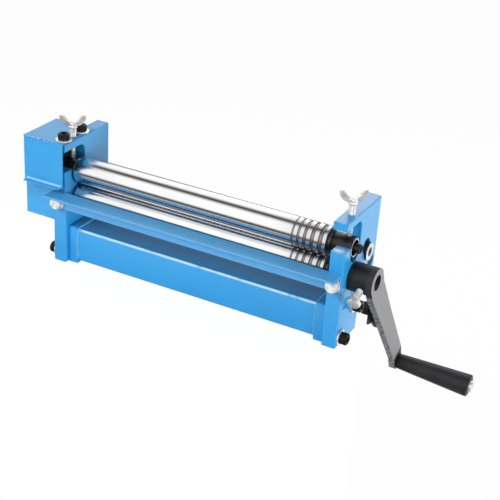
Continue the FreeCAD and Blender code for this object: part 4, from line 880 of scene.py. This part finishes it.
# ---------------------------------------------------------------- welds
def welds():
    low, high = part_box("gear_hood")
    front = low.y + 6.35 * MM
    path = [(low.x + (0.6 + 1.3 * step) * MM, front + (0.15 * math.sin(step * 2.1)) * MM,
             high.z + (0.05 + 0.12 * math.sin(step * 1.3)) * MM) for step in range(25)]
    welded("hood_weld", path, "gear_hood", 0.9 * MM, 1.2 * MM, "weld_paint", 3)

    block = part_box("right_base_block")
    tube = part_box("base_tube")
    inset = 0.2 * MM
    corner = 4 * MM
    for side, node in ((1, "right_base_block"), (-1, "left_base_block")):
        across = side * (block[0].x - inset)
        low_y, high_y, top = tube[0].y - inset, tube[1].y + inset, tube[1].z + inset
        turns = [FULL / 4 * step / 6 for step in range(7)]
        arc = [(corner * (1 - math.cos(angle)), top - corner * (1 - math.sin(angle))) for angle in turns]
        path = [(across, low_y, tube[0].z + corner)]
        path += [(across, low_y + inward, up) for inward, up in arc]
        path += [(across, high_y - inward, up) for inward, up in reversed(arc)]
        path.append((across, high_y, tube[0].z + corner))
        name = ("right" if side > 0 else "left") + "_beam_weld"
        # the beam welds carry a painted highlight
        welded(name, path, node, 0.9 * MM, 1.1 * MM, "bead_paint", 11 + side)


def hood_fold():
    """The rounded inner corner where the hood's front turns out into its flange."""
    low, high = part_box("gear_hood")
    level = low.z + 1.5 * MM
    front = low.y + 6.5 * MM
    radius = 1.8 * MM
    start, end = low.x + 3.2 * MM, LEFT_INNER - 3.2 * MM
    profile = [(front + 0.2 * MM, level - 0.2 * MM)]
    for step in range(9):
        angle = FULL / 4 * step / 8
        profile.append((front - radius * (1 - math.cos(angle)), level + radius * (1 - math.sin(angle))))
    shape = bmesh.new()
    rows = [[shape.verts.new((across, y, z)) for y, z in profile] for across in (start, end)]
    for step in range(len(profile)):
        near = (step + 1) % len(profile)
        shape.faces.new((rows[0][step], rows[0][near], rows[1][near], rows[1][step]))
    for row in rows:
        shape.faces.new(row)
    bmesh.ops.recalc_face_normals(shape, faces=shape.faces)
    # the fold's finish is a painted highlight
    settle(finished(shape, "hood_fold"), "gear_hood", "fold_paint", stands_for=False)


# ---------------------------------------------------------------- wing screws
DOG_LENGTH = 15 * MM
DOG_RADIUS = 2.7 * MM
COLLAR_RADIUS = 5 * MM
COLLAR_LIFT = 11 * MM
WING_OUTLINE = ((3.4, 2.3), (6.6, 2.6), (10.2, 4.4), (13.0, 7.6), (14.6, 11.2), (14.8, 13.8), (13.2, 15.2),
                (10.6, 14.8), (8.4, 12.2), (6.8, 9.4), (5.4, 8.0), (3.4, 7.4))


def cut_corners(outline, rounds=3):
    """A closed outline with its corners cut again and again until it is smooth."""
    for _ in range(rounds):
        finer = []
        for (x0, y0), (x1, y1) in zip(outline, outline[1:] + outline[:1]):
            finer += [(x0 * 0.75 + x1 * 0.25, y0 * 0.75 + y1 * 0.25),
                      (x0 * 0.25 + x1 * 0.75, y0 * 0.25 + y1 * 0.75)]
        outline = finer
    return outline


def wing(side):
    """One wing, thinner at its tip, standing in the plane of X and Z."""
    shape = bmesh.new()
    outline = cut_corners(list(WING_OUTLINE))
    faces = []
    for way in (-1, 1):
        ring = []
        for across, up in outline:
            half = (2.0 - 0.035 * across) * way
            ring.append(shape.verts.new((side * across * MM, half * MM, up * MM)))
        faces.append(ring)
    count = len(outline)
    for step in range(count):
        near = (step + 1) % count
        shape.faces.new((faces[0][step], faces[0][near], faces[1][near], faces[1][step]))
    for ring in faces:
        shape.faces.new(ring)
    bmesh.ops.recalc_face_normals(shape, faces=shape.faces)
    return shape


def wing_screw(node, across, heading):
    """The threaded shank is turned; collar, barrel and wings are cast in one."""
    upright = Matrix.Rotation(-FULL / 4, 4, "Y")
    collar = FRAME_TOP + COLLAR_LIFT
    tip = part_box(node)[0].z
    head = bmesh.new()
    stations = [(0, 0)] + rounded(COLLAR_RADIUS, 0.4 * MM, 0, 1, 2)
    stations += rounded(COLLAR_RADIUS, 0.4 * MM, 2 * MM, -1, 2) + [(2 * MM, 4.7 * MM), (5.5 * MM, 4.3 * MM)]
    stations += [(6.5 * MM, 3.6 * MM), (7.2 * MM, 2.2 * MM), (7.4 * MM, 0)]
    added(head, turned(stations, 48), upright)
    for side in (-1, 1):
        added(head, wing(side))
    place = Matrix.Translation((across, 0, collar)) @ Matrix.Rotation(math.radians(heading), 4, "Z")
    piece = finished(head, node + "_cast", place)
    melt = piece.modifiers.new("melt", "REMESH")
    melt.mode = "VOXEL"
    melt.voxel_size = 0.33 * MM
    flow = piece.modifiers.new("flow", "SMOOTH")
    flow.iterations = 5
    flow.factor = 0.5
    baked(piece)

    shank = bmesh.new()
    shank.from_mesh(piece.data)
    run = collar - tip
    added(shank, threaded(THREAD_RADIUS, THREAD_PITCH, DOG_LENGTH, run + 0.4 * MM),
          Matrix.Translation((across, 0, tip)) @ upright)
    dog = [(0, 0)] + rounded(DOG_RADIUS, 0.5 * MM, 0, 1, 2)
    dog += [(DOG_LENGTH + 1 * MM, DOG_RADIUS), (DOG_LENGTH + 1.2 * MM, 0)]
    added(shank, turned(dog, 40), Matrix.Translation((across, 0, tip)) @ upright)
    shank.to_mesh(piece.data)
    shank.free()
    smooth(piece.data, 45)
    settle(piece, node)


# ---------------------------------------------------------------- rear adjusters
KNOB_DISTANCE = 129 * MM
KNOB_HEIGHT = 14 * MM
KNOB_NECK = 7 * MM
KNOB_NECK_RADIUS = 8 * MM
LOBES = 6
LOBE_CIRCLE = 12.4 * MM
LOBE_RADIUS = 6 * MM
KNOB_CORE = 14.2 * MM


def lobed(angle):
    """The star knob's outline: round lobes with soft valleys between them."""
    share = FULL / LOBES
    off = (angle + share / 2) % share - share / 2
    inside = LOBE_RADIUS ** 2 - (LOBE_CIRCLE * math.sin(off)) ** 2
    lobe = LOBE_CIRCLE * math.cos(off) + math.sqrt(max(0.0, inside))
    blend = 1.6 * MM
    return blend * math.log(math.exp(lobe / blend) + math.exp((KNOB_CORE - blend) / blend)) - 0.1 * MM


def adjuster(side):
    across = side * (RIGHT_INNER + RIGHT_OUTER) / 2
    label = "right" if side > 0 else "left"
    start = REAR_AXIS + X * across
    bottom = KNOB_DISTANCE + KNOB_HEIGHT / 2
    edge = 2.6 * MM
    neck_top = KNOB_HEIGHT + KNOB_NECK
    stations = [(0.8 * MM, 0), (0.8 * MM, 6.5 * MM), (0.2 * MM, 7.6 * MM), (0, 8.4 * MM)]
    stations += rounded(lobed, edge, 0, 1, 5) + rounded(lobed, edge, KNOB_HEIGHT, -1, 5)
    stations += [(KNOB_HEIGHT, 10.4 * MM), (KNOB_HEIGHT + 0.5 * MM, 9.1 * MM),
                 (KNOB_HEIGHT + 1.6 * MM, KNOB_NECK_RADIUS + 0.1 * MM)]
    stations += rounded(KNOB_NECK_RADIUS, 0.8 * MM, neck_top, -1, 3)
    stations += [(neck_top, THREAD_RADIUS + 0.3 * MM), (neck_top - 2 * MM, 0)]
    place = aimed(start - UP_THE_SLOT * bottom, UP_THE_SLOT, X)
    settle(finished(turned(stations, 144), label + "_star_knob_moulded", place, 40), label + "_star_knob")

    node = label + "_adjusting_screw"
    slope = math.hypot(UP_THE_SLOT.x, UP_THE_SLOT.y)
    tip = (REAR_AXIS.z + THREAD_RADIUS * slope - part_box(node)[1].z) / UP_THE_SLOT.z
    low = KNOB_DISTANCE - KNOB_HEIGHT / 2 - 2 * MM
    place = aimed(start - UP_THE_SLOT * low, UP_THE_SLOT, X)
    settle(finished(threaded(THREAD_RADIUS, THREAD_PITCH, 0, low - tip), node + "_threaded", place, 60), node)


# ---------------------------------------------------------------- grip
GRIP_START = 0.3 * MM
GRIP_LENGTH = 82.5 * MM
GRIP_INNER = 8.2 * MM
GRIP_OUTER = 12.2 * MM
GRIP_RECESS = 8 * MM
GRIP_RECESS_DEPTH = 4 * MM
GRIP_HOLE = 4.05 * MM


def grip():
    """A moulded handle that swells to its outer end and is hollowed for its screw."""
    end = GRIP_START + GRIP_LENGTH
    edge = 1.8 * MM
    stations = [(GRIP_START, GRIP_HOLE)] + rounded(GRIP_INNER, 1.0 * MM, GRIP_START, 1, 3)
    for step in range(1, 24):
        share = step / 24
        swell = share ** 0.92
        stations.append((GRIP_START + 1 * MM + (GRIP_LENGTH - 1 * MM - edge) * share,
                         GRIP_INNER + (GRIP_OUTER - GRIP_INNER) * swell))
    stations += rounded(GRIP_OUTER, edge, end, -1, 5)
    stations += [(end, GRIP_RECESS + 0.5 * MM), (end - 0.5 * MM, GRIP_RECESS),
                 (end - GRIP_RECESS_DEPTH, GRIP_RECESS), (end - GRIP_RECESS_DEPTH, GRIP_HOLE)]
    shape = turned(stations, 96, through=True)
    settle(finished(shape, "crank_grip_moulded", aimed(GRIP_BASE, GRIP_AXIS), 50), "crank_grip")


rolls()
plates()
screws()
set_bolt()
welds()
hood_fold()
wing_screw("right_wing_screw", (RIGHT_INNER + RIGHT_OUTER) / 2, 40)
wing_screw("left_wing_screw", (LEFT_INNER + LEFT_OUTER) / 2, 34)
adjuster(1)
adjuster(-1)
grip()


# ---------------------------------------------------------------- camera
CAMERA_PLACE = (0.57446, -1.04698, 0.65832)
AZIMUTH = math.radians(25.997)
ELEVATION = math.radians(28.737)
ROLL = math.radians(4.153)


def camera():
    lens = bpy.data.cameras.new("camera")
    lens.lens = 89.121
    lens.sensor_width = 36
    lens.shift_x = -0.004
    lens.shift_y = 0.08
    lens.clip_start = 0.05
    lens.clip_end = 20
    eye = bpy.data.objects.new("camera", lens)
    level = Vector((math.cos(AZIMUTH), math.sin(AZIMUTH), 0))
    ahead = Vector((-math.sin(AZIMUTH) * math.cos(ELEVATION), math.cos(AZIMUTH) * math.cos(ELEVATION),
                    -math.sin(ELEVATION)))
    above = level.cross(ahead)
    right = level * math.cos(ROLL) + above * math.sin(ROLL)
    up = right.cross(ahead)
    turn = Matrix((right, up, -ahead)).transposed().to_4x4()
    eye.matrix_world = Matrix.Translation(CAMERA_PLACE) @ turn
    bpy.context.scene.collection.objects.link(eye)
    bpy.context.scene.camera = eye


# ---------------------------------------------------------------- light
SKY_STRENGTH = 0.30
MIRRORED_WHITE = 1.35
LAMPS = (
    ("key", (-0.8, -1.45, 1.13), 0.9, 25.0, False),
    ("fill", (2.0, -0.5, 0.14), 0.5, 23.0, False),
    ("back", (-0.45, 1.5, 0.9), 0.9, 3.0, True),
)


class Surroundings(Tree):
    """White all round, with dark strips that only shiny metal shows."""

    def __init__(self):
        world = bpy.data.worlds.new("studio")
        world.use_nodes = True
        super().__init__(world.node_tree)
        self.nodes.nodes.clear()
        bpy.context.scene.world = world
        way = self.add("ShaderNodeTexCoord", out="Generated")
        front, up = (self.add("ShaderNodeSeparateXYZ", sockets={0: way}, out=axis) for axis in (1, 2))
        height = up.math("ARCTAN2", front * -1.0) * (180 / math.pi)
        strips = 1.0 - height.near(87.0, 32.0) * 0.98
        strips = strips * (1.0 - height.math("ABSOLUTE").near(180.0, 24.0) * 0.88)
        path = "ShaderNodeLightPath"
        diffuse = self.add(path, out="Is Diffuse Ray")
        glossy = self.add(path, out="Is Glossy Ray")
        strength = 1.0 - diffuse * (1.0 - SKY_STRENGTH)
        strength = strength * (1.0 - glossy * (1.0 - strips * MIRRORED_WHITE))
        light = self.add("ShaderNodeBackground", sockets={"Color": shade(1, 1, 1), "Strength": strength})
        self.add("ShaderNodeOutputWorld", sockets={"Surface": light})


def lamps():
    """Three round lamps; only the last shows in shiny metal."""
    for name, place, size, power, mirrored in LAMPS:
        lamp = bpy.data.lights.new(name, "AREA")
        lamp.shape = "DISK"
        lamp.size = size
        lamp.energy = power
        thing = bpy.data.objects.new(name, lamp)
        towards = Vector((0, 0, 0.06)) - Vector(place)
        thing.matrix_world = aimed(place, towards) @ Matrix.Rotation(-FULL / 4, 4, "Y")
        thing.visible_glossy = mirrored
        bpy.context.scene.collection.objects.link(thing)


# ---------------------------------------------------------------- stage
ROLLS_HIGH = (LOWER_AXIS + UPPER_AXIS) / 2 - FOOT_LEVEL


def stage_paint():
    """Near white that still shows a shadow."""
    f = Finish("stage_white")
    grain = f.noise(30.0, 3.0)
    matt = f.add("ShaderNodeBsdfPrincipled",
                 sockets={"Base Color": f.mix(shade(0.93, 0.93, 0.93), shade(0.95, 0.95, 0.95), grain),
                          "Roughness": 0.9})
    seen = f.add("ShaderNodeLightPath", out="Is Camera Ray")
    mirrored = f.add("ShaderNodeLightPath", out="Is Glossy Ray")
    # in shiny metal the floor shows a dark strip in front, painted shadow under the machine and a darker patch
    # behind it
    dark_strip_and_shadow = (ROLLS_HIGH / (f.y * -1.0)).near(0.25, 0.40).math("MAXIMUM", f.y.near(0.02, 0.15) ** 0.5)
    dark_strip_and_shadow = dark_strip_and_shadow.math("MAXIMUM", f.y.between(0.15, 0.50) * f.x.between(0.40, 0.20) * 0.70)
    dark_strip_and_shadow = mirrored * dark_strip_and_shadow
    power = 1.03 + mirrored * (MIRRORED_WHITE - 1.03) - dark_strip_and_shadow * MIRRORED_WHITE
    glow = f.add("ShaderNodeEmission", sockets={"Color": shade(1, 1, 1), "Strength": power})
    surface = f.add("ShaderNodeMixShader", sockets={0: seen * 0.92 + mirrored * 0.97, 1: matt, 2: glow})
    f.add("ShaderNodeOutputMaterial", sockets={"Surface": surface})
    return f.material


def slab(name, low, high, finish):
    shape = bmesh.new()
    bmesh.ops.create_cube(shape, size=1.0)
    for corner in shape.verts:
        corner.co = Vector(low[axis] if corner.co[axis] < 0 else high[axis] for axis in range(3))
    piece = finished(shape, name)
    piece.data.materials.append(finish)


BENCH_REACH = 3.0
BENCH_DEPTH = 0.4
FLOOR_REACH = 6.0
FLOOR_DROP = 0.5
FLOOR_DEPTH = 0.1


def stage():
    """A bench whose corner is under the right frame, so that the crank hangs free, and a floor below it."""
    white = stage_paint()
    corner = (RIGHT_OUTER + 0.5 * MM, REAR_EDGE, FOOT_LEVEL)
    slab("bench", (-BENCH_REACH, -BENCH_REACH, FOOT_LEVEL - BENCH_DEPTH), corner, white)
    level = FOOT_LEVEL - FLOOR_DROP
    slab("floor", (-FLOOR_REACH, -FLOOR_REACH, level - FLOOR_DEPTH), (FLOOR_REACH, FLOOR_REACH, level), white)


camera()
Surroundings()
lamps()
stage()
bpy.context.scene.view_settings.view_transform = "Standard"
